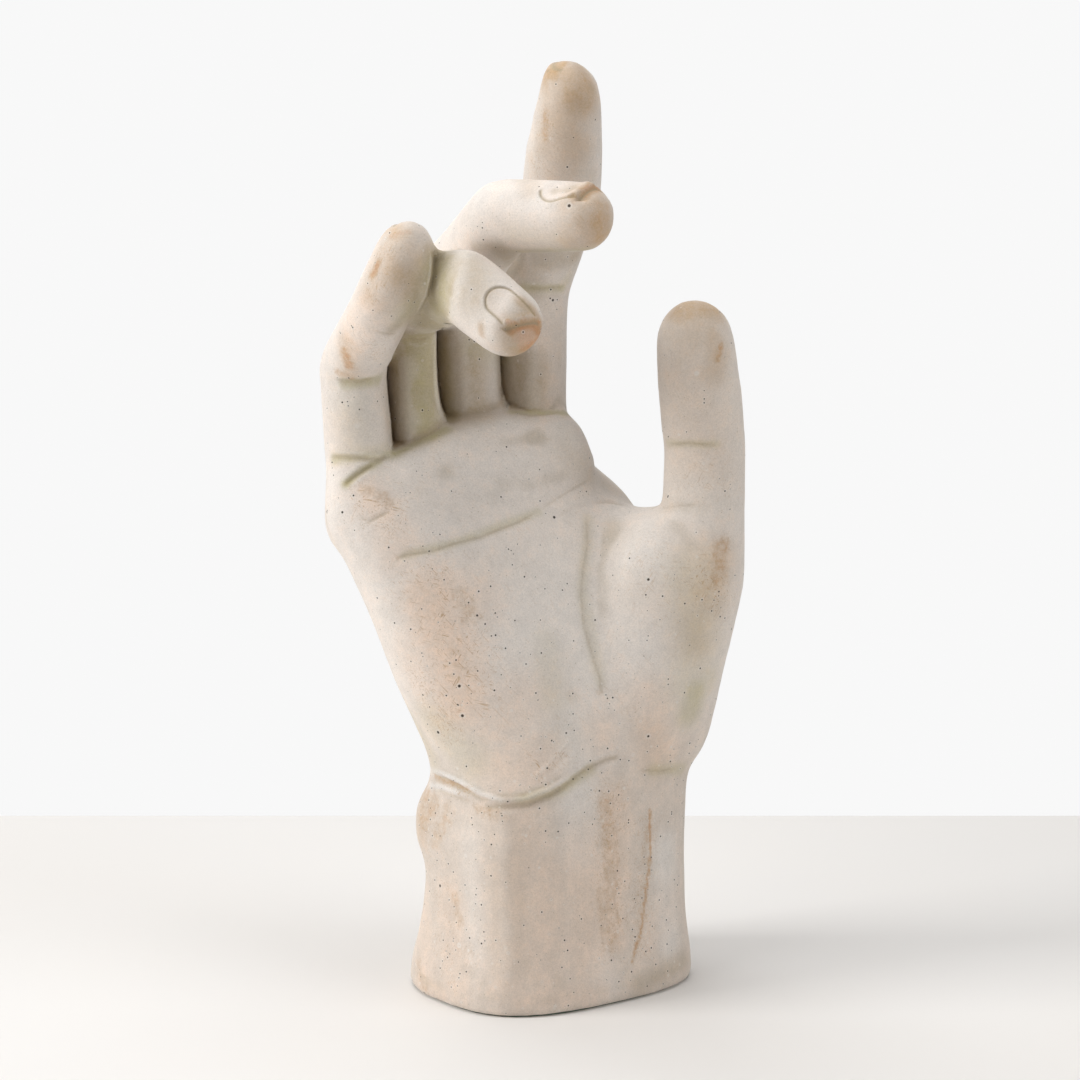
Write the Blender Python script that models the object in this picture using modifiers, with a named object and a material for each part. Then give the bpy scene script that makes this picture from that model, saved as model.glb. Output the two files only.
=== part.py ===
# Hand sculpture: a right hand in cast stone, palm to the front, standing on its cut wrist.
# The casting is hollow in the wrist and palm. A bent steel rod stiffens each digit, a plug
# closes the hollow, and a felt sheet under the base rests on the table.
# Metres, +Z up. The viewer stands at -Y, and +X is the thumb's side.

import bpy
import bmesh
import math
import numpy as np
from mathutils import Vector, kdtree
from mathutils.bvhtree import BVHTree

MM = 0.001

# The one main size. The tables below are drawn in mm for a hand 392 mm tall.
HAND_HEIGHT = 392.0 * MM
UNIT = HAND_HEIGHT / 392.0

# Base and fit
FELT_THICKNESS = 0.7 * MM
FELT_INSET = 3.0 * MM
CLEARANCE = 0.3 * MM
BASE_EDGE = 1.6 * MM
UNDERSIDE = FELT_THICKNESS + CLEARANCE

# Hollow and plug
WALL = 15.0 * MM
CORE_TOP = 148.0 * UNIT
CORE_CROWN = 10.0 * UNIT
CORE_POINTS = 28
PLUG_THICKNESS = 12.0 * MM

# Rods
ROD_RADIUS = 1.6 * MM
ROD_STEP = 7.5 * MM
CHANNEL_RADIUS = ROD_RADIUS + CLEARANCE

# Turns of the sections about Z: the wrist is turned further to the thumb's side than the palm
WRIST_TURN = math.radians(37.0)
PALM_TURN = math.radians(27.0)

# Wrist and palm, from the table up: height, centre x, centre y, half width, half thickness
WRIST_SECTIONS = (
    (-24.0, 0.6, -0.5, 60.0, 48.0),
    (8.0, 0.6, -0.5, 59.5, 47.0),
    (25.0, 1.4, 0.0, 57.0, 43.0),
    (50.0, 2.4, 0.5, 55.5, 40.5),
    (72.0, 2.2, 1.0, 57.0, 39.8),
    (92.0, 4.2, 2.0, 55.5, 38.5),
)
PALM_SECTIONS = (
    (112.0, 3.0, 4.0, 62.0, 37.5),
    (135.0, -3.5, 5.0, 66.5, 35.5),
    (160.0, -10.0, 6.0, 69.5, 32.5),
    (185.0, -21.0, 6.0, 69.5, 29.5),
    (205.0, -29.0, 7.5, 68.0, 26.5),
    (218.0, -37.0, 10.0, 60.5, 22.0),
    (228.0, -38.0, 13.0, 50.0, 17.0),
)
WRIST_SQUARENESS = 2.9
PALM_SQUARENESS = 2.35

# Fineness of the sculpting and of the finished solid
LOFT_STEP = 4.0 * UNIT
STROKE_STEP = 1.0 * UNIT
DROP_EDGE = 2.0
DROP_FACING = 0.3
CLAY_GRAIN = 2.2 * UNIT
SMOOTHING_PASSES = 55
FINGER_SMOOTHING = 0.12
FINGERS_START = 221.0 * UNIT
THUMB_START = 190.0 * UNIT
THUMB_SIDE = 40.0 * UNIT
BLEND_HEIGHT = 14.0 * UNIT
PALM_CROWN = 4.0 * UNIT
CASTING_TRIANGLES = 9400


def point(x, y, z):
    return Vector((x, y, z)) * UNIT


# Digits. tail is the rod's lower end in the hollow and root the joint inside the palm; lengths
# run over the three bones; aims are the bones' directions; sizes are half width and half depth
# at the joints and at the pad; facing is the way the pad looks; tip is the longer end beyond
# the last joint's centre and cover the flesh left above the rod.
DIGITS = {
    "index": dict(
        tail=point(1.0, 8.0, 138.0),
        root=point(-9.0, 24.0, 214.0),
        lengths=(79.0, 43.0, 45.5),
        aims=((0.03, 0.10, 1.0), (0.26, -0.18, 0.95), (0.08, -0.26, 0.96)),
        sizes=((16.5, 15.5), (14.3, 14.3), (17.1, 16.0), (13.3, 12.8)),
        facing=(0.45, -0.89, 0.0),
        waists=(0.97, 1.0, 1.04),
        tip=15.0,
        cover=18.0,
    ),
    "middle": dict(
        tail=point(-12.0, 5.0, 139.0),
        root=point(-33.5, 18.0, 214.0),
        lengths=(87.0, 57.0, 39.0),
        aims=((-0.06, 0.13, 0.98), (0.34, -0.76, 0.53), (0.83, -0.55, 0.065)),
        sizes=((16.0, 15.0), (16.6, 15.8), (15.4, 15.0), (14.9, 14.3)),
        facing=(0.3, -0.5, -0.8),
        waists=(0.95, 0.98, 1.03),
        tip=12.0,
        cover=16.0,
    ),
    "ring": dict(
        tail=point(-25.0, -1.0, 139.0),
        root=point(-56.5, 5.0, 208.0),
        lengths=(81.5, 58.5, 28.0),
        aims=((-0.06, 0.09, 0.99), (0.44, -0.85, 0.28), (0.69, -0.53, -0.49)),
        sizes=((15.0, 14.5), (14.6, 14.6), (15.2, 15.0), (15.0, 14.2)),
        facing=(0.1, -0.3, -0.9),
        waists=(0.95, 0.98, 1.02),
        tip=12.5,
        cover=16.0,
    ),
    "little": dict(
        tail=point(-37.0, -6.0, 138.0),
        root=point(-79.0, -11.0, 203.0),
        lengths=(64.0, 38.0, 28.5),
        aims=((-0.055, 0.05, 1.0), (0.33, -0.63, 0.70), (0.38, -0.18, 0.91)),
        sizes=((14.5, 14.0), (13.6, 13.6), (13.0, 13.0), (11.6, 11.4)),
        facing=(0.35, -0.94, 0.0),
        waists=(0.97, 1.0, 1.03),
        tip=13.5,
        cover=16.0,
    ),
    "thumb": dict(
        tail=point(22.0, 8.0, 84.0),
        root=point(44.0, 12.0, 110.0),
        lengths=(70.0, 55.0, 46.0),
        aims=((0.29, -0.13, 0.96), (0.01, -0.07, 1.0), (-0.10, -0.13, 0.99)),
        sizes=((25.0, 23.0), (18.8, 20.0), (17.2, 15.5), (16.4, 14.3)),
        facing=(0.1, -0.99, 0.0),
        waists=(1.0, 0.97, 1.04),
        tip=18.5,
        cover=22.0,
    ),
}

# Fleshy mounds: centre at each end, then half width and half depth at each end, all in mm
MOUNDS = {
    "thumb_mound": ((36, 2, 120), (50, 1, 176), (29, 24), (29, 21)),
    "thumb_mound_heel": ((24, 0, 110), (32, 0, 126), (26, 20), (27, 21)),
    "thumb_web": ((14, 16, 182), (48, 8, 180), (22, 14), (24, 16)),
    "heel_mound": ((-28, -10, 112), (-49, -15, 170), (22, 20), (20, 16)),
    "little_pad": ((-79, -17, 206), (-79.5, -15, 216), (16, 12), (15.5, 12)),
    "middle_pad": ((-50, -6, 210), (-20, 8, 214), (17, 13), (17, 13)),
    "finger_ledge": ((-62, -11, 224), (-33, 5, 235), (9, 11), (9, 11)),
    "index_ledge": ((-33, 5, 235), (-7, 16, 238), (9, 11), (8.5, 10)),
    "palm_brow": ((-38, -1, 223), (-5, 12, 222), (13, 12.5), (12.5, 12)),
    "index_shoulder": ((-1, 16, 233), (2, 17, 219), (11.8, 12), (12.4, 12.5)),
    "wrist_knob": ((-43, -8, 66), (-43, -6, 75), (15, 15), (15, 15)),
}
KNUCKLE_LIFT = 7.0 * UNIT

# Lines pressed into the surface (depth above 0) or raised from it: points near the surface,
# width to each side and depth, all in mm
STROKES = {
    "heart_line": (
        ((-68, -36, 188), (-62, -36, 192), (-46, -30, 195), (-28, -24, 199), (-15, -16, 204),
         (-2, -7, 209), (16, 10, 214)), 3.6, 0.9),
    "little_crease": (((-78, -34, 205), (-63, -31, 212)), 3.0, 0.6),
    "life_line": (
        ((17, 6, 213), (16, 3, 204), (15, -4, 188), (11, -13, 174), (13, -20, 158),
         (18, -26, 146), (22, -30, 136), (23, -32, 128)), 5.0, 0.9),
    "thumb_ip": (((47, -10, 235), (58, -17, 235), (71, -15, 236)), 3.0, 0.7),
    "thumb_base": (((44, -18, 209), (54, -19, 208), (70, -16, 209)), 3.2, 0.7),
    "index_pip": (((-20, 20, 294), (-6, 17, 294), (8, 22, 294)), 3.0, 0.8),
    "little_pip": (((-92, -18, 262), (-81, -24, 261), (-70, -22, 263)), 3.0, 0.9),
    "little_dip": (((-78, -42, 289), (-66, -44, 286), (-56, -38, 285)), 2.8, 0.6),
    "little_root": (((-92, -20, 229), (-78, -26, 228), (-66, -23, 230)), 3.2, 1.0),
    "little_fold": (((-84, -28, 219), (-74, -26, 226), (-66, -24, 230)), 2.8, 0.7),
    "ring_fold": (((-68, -2, 279), (-61, -4, 279), (-52, -4, 279)), 3.0, 0.8),
    "wrist_ridge": (
        ((-50, -20, 99), (-42, -35, 99), (-28, -40, 97), (-14, -42, 92), (-3, -42, 91)), 3.4, -1.0),
    "wrist_crease": (
        ((-17, -43, 88), (-4, -42, 88), (5, -38, 95), (17, -33, 100), (28, -31, 106)), 3.4, 1.0),
    "wrist_crease_side": (((34, -26, 99), (46, -20, 98), (57, -6, 98)), 3.4, 0.7),
    "ring_cuticle": (
        ((-20, -66, 294), (-26, -61, 302), (-21, -57, 307), (-13, -57, 304)), 2.4, 0.8),
    "ring_nail_side": (((-20, -66, 294), (-12, -69, 288)), 2.2, 0.7),
    "middle_cuticle": (((-3, -28, 346), (-8, -36, 343), (-3, -44, 339)), 2.4, 0.7),
    "middle_nail_side": (((-3, -44, 339), (14, -50, 339)), 2.2, 0.6),
    "index_tendon": (((-2, 40, 120), (-8, 48, 170), (-9, 50, 206)), 9.0, -1.0),
    "middle_tendon": (((-10, 36, 120), (-26, 42, 170), (-34, 44, 206)), 9.0, -1.0),
    "ring_tendon": (((-18, 32, 120), (-44, 32, 170), (-56, 32, 204)), 9.0, -1.0),
    "little_tendon": (((-26, 28, 120), (-60, 20, 170), (-74, 16, 200)), 8.0, -0.9),
}

# Lines where one form stands in front of the next: points, width and depth in mm, and the side
# of the line on which the skin drops back from the viewer
DROPS = {
    "little_gap": (((-67, -4, 268), (-68, -5, 261), (-68, -7, 248), (-66, -14, 233)), 11.0, 7.0, (1, 0, 0)),
    "ring_gap": (((-48, 5, 274), (-47, 4, 261), (-46, 4, 250), (-43, -1, 241)), 10.0, 8.0, (1, 0, 0)),
    "middle_gap": (((-22, 18, 264), (-21, 18, 257), (-19, 17, 252), (-18, 11, 245)), 9.0, 7.5, (1, 0, 0)),
    "ring_ledge": (
        ((-66, -16, 231), (-61, -14, 233), (-55, -11, 235), (-49, -8, 237), (-43, -3, 240)),
        6.0, 3.5, (0, 0, 1)),
    "index_ledge": (((-18, 9, 245), (-14, 7, 244), (-8, 8, 243), (-1, 12, 244), (7, 25, 243)),
                    5.0, 2.0, (0, 0, 1)),
}


def clear_scene():
    for obj in list(bpy.data.objects):
        bpy.data.objects.remove(obj, do_unlink=True)


def make_collection(name, rendered=True):
    made = bpy.data.collections.new(name)
    bpy.context.scene.collection.children.link(made)
    made.hide_render = not rendered
    return made


def make_material(name, colour, roughness, metallic=0.0):
    made = bpy.data.materials.new(name)
    made.use_nodes = True
    shader = made.node_tree.nodes["Principled BSDF"]
    shader.inputs["Base Color"].default_value = (*colour, 1.0)
    shader.inputs["Roughness"].default_value = roughness
    shader.inputs["Metallic"].default_value = metallic
    return made


def add_object(name, data, collection, material=None):
    made = bpy.data.objects.new(name, data)
    collection.objects.link(made)
    if material:
        data.materials.clear()
        data.materials.append(material)
    return made


def evaluated_mesh(obj):
    bpy.context.view_layer.update()
    graph = bpy.context.evaluated_depsgraph_get()
    return bpy.data.meshes.new_from_object(obj.evaluated_get(graph))


def apply_modifiers(obj):
    done = evaluated_mesh(obj)
    done.name = obj.name
    obj.modifiers.clear()
    obj.data = done


def loft(name, rings):
    # A closed skin over rings that all hold the same number of points, anticlockwise from above
    bm = bmesh.new()
    rows = [[bm.verts.new(p) for p in ring] for ring in rings]
    count = len(rows[0])
    for lower, upper in zip(rows, rows[1:]):
        for k in range(count):
            after = (k + 1) % count
            bm.faces.new((lower[k], lower[after], upper[after], upper[k]))
    bm.faces.new(rows[0][::-1])
    bm.faces.new(rows[-1])
    data = bpy.data.meshes.new(name)
    bm.to_mesh(data)
    bm.free()
    return data


def superellipse(angle, squareness):
    c, s = math.cos(angle), math.sin(angle)
    power = 2.0 / squareness
    return math.copysign(abs(c) ** power, c), math.copysign(abs(s) ** power, s)


def between_rows(rows, t):
    # A smooth value through the rows of a table, with t from 0 to the last row
    last = len(rows) - 1
    i = min(int(t), last - 1)
    f = t - i
    before, start = rows[max(i - 1, 0)], rows[i]
    end, after = rows[i + 1], rows[min(i + 2, last)]
    return 0.5 * (
        2 * start
        + (end - before) * f
        + (2 * before - 5 * start + 4 * end - after) * f**2
        + (3 * start - before - 3 * end + after) * f**3
    )


def body_section(height):
    # Centre x and y, half width, half thickness, turn and squareness at a height
    wrist = [(*row, WRIST_TURN, WRIST_SQUARENESS) for row in WRIST_SECTIONS]
    palm = [(*row, PALM_TURN, PALM_SQUARENESS) for row in PALM_SECTIONS]
    rows = np.array(wrist + palm)
    rows[:, :5] *= UNIT
    t = float(np.interp(height, rows[:, 0], range(len(rows))))
    return between_rows(rows, t)[1:]


def section_outline(height, inset=0.0, points=40, lift=0.0):
    points = round(points)
    x, y, half_width, half_thickness, turn, squareness = body_section(height)
    outline = []
    for k in range(points):
        across, through = superellipse(2 * math.pi * k / points, squareness)
        across *= half_width - inset
        through *= half_thickness - inset
        outline.append(Vector((
            x + across * math.cos(turn) - through * math.sin(turn),
            y + across * math.sin(turn) + through * math.cos(turn),
            height + lift,
        )))
    return outline


def body_loft():
    low, high = WRIST_SECTIONS[0][0] * UNIT, PALM_SECTIONS[-1][0] * UNIT
    heights = np.linspace(low, high, round((high - low) / LOFT_STEP) + 1)
    rings = [section_outline(height) for height in heights]
    rings.append(section_outline(high, PALM_CROWN, lift=PALM_CROWN))
    return loft("body", rings)


def limb(start, end, size_start, size_end, facing, waist=1.0, tip=None):
    # Flesh along one bone: an elliptical tube with round ends, thinner or thicker at its waist
    axis = (end - start).normalized()
    pad = (facing - axis * facing.dot(axis)).normalized()
    across = axis.cross(pad)
    length = (end - start).length
    first = max(size_start) * UNIT
    last = (tip or max(size_end)) * UNIT
    steps, sides = 22, 24
    rings = []
    for i in range(1, steps):
        # Rings crowd towards the round ends
        along = -first + (first + length + last) * (0.5 - 0.5 * math.cos(math.pi * i / steps))
        share = min(max(along / length, 0.0), 1.0)
        swell = 1.0 + (waist - 1.0) * math.sin(math.pi * share)
        cap = 1.0
        if along < 0:
            cap = math.sqrt(max(1.0 - (along / first) ** 2, 0.0))
        elif along > length:
            cap = math.sqrt(max(1.0 - ((along - length) / last) ** 2, 0.0))
        width, depth = (
            (a + (b - a) * share) * swell * cap * UNIT for a, b in zip(size_start, size_end)
        )
        rings.append([
            start + axis * along
            + pad * (math.cos(2 * math.pi * k / sides) * depth)
            + across * (math.sin(2 * math.pi * k / sides) * width)
            for k in range(sides)
        ])
    return loft("limb", rings)


def digit_joints(digit):
    joints = [digit["root"]]
    for length, aim in zip(digit["lengths"], digit["aims"]):
        joints.append(joints[-1] + Vector(aim).normalized() * length * UNIT)
    return joints


def digit_limbs(digit):
    joints = digit_joints(digit)
    facing = Vector(digit["facing"])
    sizes = digit["sizes"]
    limbs = []
    for i, waist in enumerate(digit["waists"]):
        tip = digit["tip"] if i == 2 else None
        limbs.append(limb(
            joints[i], joints[i + 1], sizes[i], sizes[i + 1], facing, waist, tip))
    return limbs


def palm_facing():
    return Vector((math.sin(PALM_TURN), -math.cos(PALM_TURN), 0.0))


def mound_limbs():
    limbs = []
    for start, end, size_start, size_end in MOUNDS.values():
        limbs.append(limb(point(*start), point(*end), size_start, size_end, palm_facing()))
    return limbs


def knuckle_limbs():
    limbs = []
    for name, digit in DIGITS.items():
        if name == "thumb":
            continue
        top = digit["root"] - palm_facing() * KNUCKLE_LIFT
        size = (digit["sizes"][0][0] - 1.5, digit["sizes"][0][1])
        limbs.append(limb(top - point(0, 0, 4), top + point(0, 0, 4), size, size, palm_facing()))
    return limbs


def joined(name, meshes):
    bm = bmesh.new()
    for data in meshes:
        bm.from_mesh(data)
        bpy.data.meshes.remove(data)
    data = bpy.data.meshes.new(name)
    bm.to_mesh(data)
    bm.free()
    return data


def soften(clay):
    # The palm melts together, the digits keep their roundness
    flesh = clay.vertex_groups.new(name="flesh")
    for vertex in clay.data.vertices:
        start = THUMB_START if vertex.co.x > THUMB_SIDE else FINGERS_START
        share = min(max((vertex.co.z - start) / BLEND_HEIGHT, 0.0), 1.0)
        flesh.add([vertex.index], 1.0 - share * (1.0 - FINGER_SMOOTHING), "REPLACE")
    smooth = clay.modifiers.new("soften", "SMOOTH")
    smooth.factor = 0.5
    smooth.iterations = round(SMOOTHING_PASSES)
    smooth.vertex_group = flesh.name
    apply_modifiers(clay)
    clay.vertex_groups.clear()


def drawn_line(data, points):
    # The line through the points, laid on the skin, and a quick way to find its nearest place
    skin = BVHTree.FromPolygons(
        [v.co for v in data.vertices], [p.vertices for p in data.polygons])
    path = []
    for start, end in zip(points, points[1:]):
        a, b = point(*start), point(*end)
        count = max(int((b - a).length / STROKE_STEP), 1)
        path += [skin.find_nearest(a.lerp(b, k / count))[0] for k in range(count)]
    path.append(skin.find_nearest(point(*points[-1]))[0])
    near = kdtree.KDTree(len(path))
    for i, p in enumerate(path):
        near.insert(p, i)
    near.balance()
    return near, len(path) - 1


def draw_stroke(clay, points, width, depth):
    # Press in or raise the skin along a line, fading out at width to each side
    near, last = drawn_line(clay.data, points)
    moved = []
    for vertex in clay.data.vertices:
        found, index, distance = near.find(vertex.co)
        if distance < width * UNIT:
            end_fade = min(1.0, (min(index, last - index) + 1) / 5.0)
            fade = 0.5 + 0.5 * math.cos(math.pi * distance / (width * UNIT))
            moved.append((vertex, vertex.normal * (-depth * UNIT * fade * end_fade)))
    for vertex, shift in moved:
        vertex.co += shift
    clay.data.update()


def drop_back(clay, points, width, depth, side):
    # Sink the skin on one side of a line straight back, most at the line and fading out at width
    near, last = drawn_line(clay.data, points)
    moved = []
    for vertex in clay.data.vertices:
        found, index, distance = near.find(vertex.co)
        if distance < width * UNIT and vertex.normal.y < DROP_FACING:
            end_fade = min(1.0, (min(index, last - index) + 1) / 4.0)
            offset = (vertex.co - found).dot(Vector(side)) / (DROP_EDGE * UNIT)
            edge = min(max(offset + 0.3, 0.0), 1.0)
            fade = 1.0 - distance / (width * UNIT)
            moved.append((vertex, depth * UNIT * edge * fade * end_fade))
    for vertex, shift in moved:
        vertex.co.y += shift
    clay.data.update()


def sculpted_clay(collection, material):
    meshes = [body_loft()] + mound_limbs() + knuckle_limbs()
    for digit in DIGITS.values():
        meshes += digit_limbs(digit)
    clay = add_object("hand_casting", joined("hand_casting", meshes), collection)
    fuse = clay.modifiers.new("fuse", "REMESH")
    fuse.mode = "VOXEL"
    fuse.voxel_size = CLAY_GRAIN
    apply_modifiers(clay)
    soften(clay)
    for points, width, depth, side in DROPS.values():
        drop_back(clay, points, width, depth, side)
    for points, width, depth in STROKES.values():
        draw_stroke(clay, points, width, depth)
    triangles = 2 * len(clay.data.polygons)
    thin = clay.modifiers.new("thin", "DECIMATE")
    thin.ratio = CASTING_TRIANGLES / triangles
    apply_modifiers(clay)
    clay.data.materials.clear()
    clay.data.materials.append(material)
    return clay


def cut_base(clay):
    # A flat underside with a small chamfered edge
    bm = bmesh.new()
    bm.from_mesh(clay.data)
    for height in (UNDERSIDE + BASE_EDGE, UNDERSIDE):
        everything = list(bm.verts) + list(bm.edges) + list(bm.faces)
        cut = bmesh.ops.bisect_plane(
            bm, geom=everything, dist=1e-6, plane_co=(0, 0, height), plane_no=(0, 0, 1),
            clear_inner=height == UNDERSIDE)
    rim = [item for item in cut["geom_cut"] if isinstance(item, bmesh.types.BMEdge)]
    bmesh.ops.holes_fill(bm, edges=rim, sides=0)
    for vertex in bm.verts:
        if abs(vertex.co.z - UNDERSIDE) < 1e-6:
            reach = math.hypot(vertex.co.x, vertex.co.y)
            vertex.co.x -= BASE_EDGE * vertex.co.x / reach
            vertex.co.y -= BASE_EDGE * vertex.co.y / reach
    bmesh.ops.triangulate(bm, faces=bm.faces)
    bmesh.ops.recalc_face_normals(bm, faces=bm.faces)
    bm.to_mesh(clay.data)
    bm.free()


def core_loft():
    plug_top = UNDERSIDE + PLUG_THICKNESS
    heights = [-CORE_CROWN, UNDERSIDE, plug_top]
    heights += list(np.linspace(plug_top, CORE_TOP, 7)[1:])
    rings = [section_outline(height, WALL, CORE_POINTS) for height in heights]
    rings.append(section_outline(CORE_TOP, WALL + CORE_CROWN, CORE_POINTS, CORE_CROWN * 0.6))
    return loft("core_cutter", rings)


def plug_loft():
    heights = UNDERSIDE, UNDERSIDE + PLUG_THICKNESS
    inset = WALL + CLEARANCE
    return loft("base_plug", [section_outline(h, inset, CORE_POINTS) for h in heights])


def rod_points(digit, extra=0.0):
    # The rod's line: up from the hollow and through the joints, ending below the fingertip
    joints = digit_joints(digit)
    joints[-1] -= (joints[-1] - joints[-2]).normalized() * (digit["cover"] * UNIT - extra)
    marks = [np.array(p) for p in [digit["tail"]] + joints]
    line = []
    for i in range(len(marks) - 1):
        steps = max(round(np.linalg.norm(marks[i + 1] - marks[i]) / ROD_STEP), 2)
        line += [between_rows(np.array(marks), i + k / steps) for k in range(steps)]
    line.append(marks[-1])
    return line


def rod_mesh(name, digit, radius, extra, collection):
    line = rod_points(digit, extra)
    curve = bpy.data.curves.new(name, "CURVE")
    curve.dimensions = "3D"
    curve.bevel_depth = radius
    curve.bevel_resolution = 1
    curve.use_fill_caps = True
    spline = curve.splines.new("POLY")
    spline.points.add(len(line) - 1)
    for target, p in zip(spline.points, line):
        target.co = (*p, 1.0)
    wire = add_object(name + "_line", curve, collection)
    data = evaluated_mesh(wire)
    data.name = name
    bpy.data.objects.remove(wire, do_unlink=True)
    bm = bmesh.new()
    bm.from_mesh(data)
    bmesh.ops.remove_doubles(bm, verts=bm.verts, dist=1e-6)
    bmesh.ops.recalc_face_normals(bm, faces=bm.faces)
    bm.to_mesh(data)
    bm.free()
    return data


def carve(target, cutter):
    cut = target.modifiers.new(cutter.name, "BOOLEAN")
    cut.operation = "DIFFERENCE"
    cut.solver = "EXACT"
    cut.object = cutter
    cutter.display_type = "WIRE"


def shade_smooth(obj, angle=40.0):
    bm = bmesh.new()
    bm.from_mesh(obj.data)
    limit = math.radians(angle)
    for face in bm.faces:
        face.smooth = True
    for edge in bm.edges:
        edge.smooth = len(edge.link_faces) == 2 and edge.calc_face_angle(0.0) < limit
    bm.to_mesh(obj.data)
    bm.free()


def main():
    clear_scene()
    parts = make_collection("hand_sculpture")
    cutters = make_collection("cutters", rendered=False)
    stone = make_material("cast_stone", (0.62, 0.55, 0.47), 0.85)
    steel = make_material("steel_rod", (0.55, 0.55, 0.56), 0.4, 1.0)
    plaster = make_material("plug_plaster", (0.78, 0.76, 0.72), 0.9)
    felt = make_material("green_felt", (0.06, 0.13, 0.08), 0.95)

    hand = sculpted_clay(parts, stone)
    cut_base(hand)
    carve(hand, add_object("core_cutter", core_loft(), cutters))
    for name, digit in DIGITS.items():
        rod = rod_mesh(f"{name}_rod", digit, ROD_RADIUS, 0.0, parts)
        shade_smooth(add_object(f"{name}_rod", rod, parts, steel))
        channel = rod_mesh(f"{name}_channel", digit, CHANNEL_RADIUS, CLEARANCE, cutters)
        carve(hand, add_object(f"{name}_channel", channel, cutters))
    apply_modifiers(hand)
    shade_smooth(hand, 60.0)

    plug = add_object("base_plug", plug_loft(), parts, plaster)
    shade_smooth(plug)
    outline = section_outline(UNDERSIDE, FELT_INSET)
    sheet = [[Vector((p.x, p.y, z)) for p in outline] for z in (0.0, FELT_THICKNESS)]
    shade_smooth(add_object("felt_pad", loft("felt_pad", sheet), parts, felt))


main()
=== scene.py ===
# Cast stone hand, standing on its cut wrist, palm to the viewer
import math

import bpy
import numpy as np
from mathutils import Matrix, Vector
from mathutils.bvhtree import BVHTree


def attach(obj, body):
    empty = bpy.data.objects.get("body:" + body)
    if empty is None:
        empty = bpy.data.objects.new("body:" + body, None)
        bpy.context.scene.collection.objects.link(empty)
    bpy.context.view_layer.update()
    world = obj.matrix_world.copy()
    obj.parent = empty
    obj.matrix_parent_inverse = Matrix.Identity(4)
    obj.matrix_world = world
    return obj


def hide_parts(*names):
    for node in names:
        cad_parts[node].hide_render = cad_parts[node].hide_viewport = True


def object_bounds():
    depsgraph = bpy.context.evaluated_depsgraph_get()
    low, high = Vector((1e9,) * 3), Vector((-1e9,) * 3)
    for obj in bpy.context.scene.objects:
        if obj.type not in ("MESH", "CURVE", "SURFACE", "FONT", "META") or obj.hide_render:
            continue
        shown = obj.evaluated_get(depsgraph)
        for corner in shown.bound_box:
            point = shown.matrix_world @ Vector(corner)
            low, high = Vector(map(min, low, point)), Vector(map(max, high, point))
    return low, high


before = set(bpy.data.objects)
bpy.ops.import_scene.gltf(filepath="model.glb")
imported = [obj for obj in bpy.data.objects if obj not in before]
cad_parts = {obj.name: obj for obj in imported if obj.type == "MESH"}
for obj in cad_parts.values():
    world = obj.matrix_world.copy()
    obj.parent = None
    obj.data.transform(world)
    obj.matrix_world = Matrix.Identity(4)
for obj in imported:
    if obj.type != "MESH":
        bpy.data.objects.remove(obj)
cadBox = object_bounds()
print("frame loaded")

mm = 0.001

# the camera stands where the picture was taken from
viewValues = {
    "distance": 1.9, "tilt": 12.0, "aim": (-0.0043, 0.0, 0.1915), "lens": 150.8, "film": 36.0,
    "middle": 540,          # of the picture, which is 1080 wide and high
    "mmPerPixel": 0.42,     # at the hand
}


def eyePlace():
    tilt = math.radians(viewValues["tilt"])
    back = Vector((0.0, -math.cos(tilt), math.sin(tilt)))
    return Vector(viewValues["aim"]) + viewValues["distance"] * back


def sightLine(across, down):
    # From the eye through a place on the picture
    forward = (Vector(viewValues["aim"]) - eyePlace()).normalized()
    side, middle = Vector((1, 0, 0)), viewValues["middle"]
    half = viewValues["film"] / 2 / viewValues["lens"]
    return (forward + side * ((across - middle) / middle * half)
            + side.cross(forward) * ((middle - down) / middle * half)).normalized()


def pictureOf(places):
    # Where points lie on the picture
    tilt, aim = math.radians(viewValues["tilt"]), np.array(viewValues["aim"])
    side, away, up = (places - aim).T
    depth = viewValues["distance"] + away * math.cos(tilt) - up * math.sin(tilt)
    half, middle = viewValues["film"] / 2 / viewValues["lens"], viewValues["middle"]
    rise = away * math.sin(tilt) + up * math.cos(tilt)
    return middle + side / depth / half * middle, middle - rise / depth / half * middle


def aimed(name, data, place, aim):
    # A camera or lamp at its place, turned to what it looks at
    thing = bpy.data.objects.new(name, data)
    bpy.context.scene.collection.objects.link(thing)
    thing.location = place
    thing.rotation_euler = (Vector(aim) - thing.location).to_track_quat("-Z", "Y").to_euler()
    return thing


def makeCamera():
    data = bpy.data.cameras.new("mainCamera")
    data.lens, data.sensor_width = viewValues["lens"], viewValues["film"]
    bpy.context.scene.camera = aimed("mainCamera", data, eyePlace(), viewValues["aim"])


makeCamera()


# small helpers for working by hand in code
def takeHold(piece):
    bpy.ops.object.select_all(action="DESELECT")
    piece.select_set(True)
    bpy.context.view_layer.objects.active = piece


def openMesh(piece, kind="FACE", action="SELECT"):
    takeHold(piece)
    bpy.ops.object.mode_set(mode="EDIT")
    bpy.ops.mesh.select_mode(type=kind)
    bpy.ops.mesh.select_all(action=action)


def closeMesh():
    bpy.ops.mesh.select_all(action="DESELECT")
    bpy.ops.object.mode_set(mode="OBJECT")


def addAndApply(piece, name, kind, **values):
    takeHold(piece)
    modifier = piece.modifiers.new(name, kind)
    for key, value in values.items():
        setattr(modifier, key, value)
    bpy.ops.object.modifier_apply(modifier=name)


def copyOfNode(node, name):
    # A node's mesh is loose triangles, so a copy of it is merged first
    piece = bpy.data.objects.new(name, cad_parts[node].data.copy())
    piece.data.materials.clear()
    bpy.context.scene.collection.objects.link(piece)
    openMesh(piece)
    bpy.ops.mesh.remove_doubles(threshold=0.002 * mm)
    closeMesh()
    return piece


def selectFaces(piece, chosen):
    piece.data.polygons.foreach_set("select", np.asarray(chosen, bool))
    piece.data.update()


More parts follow.
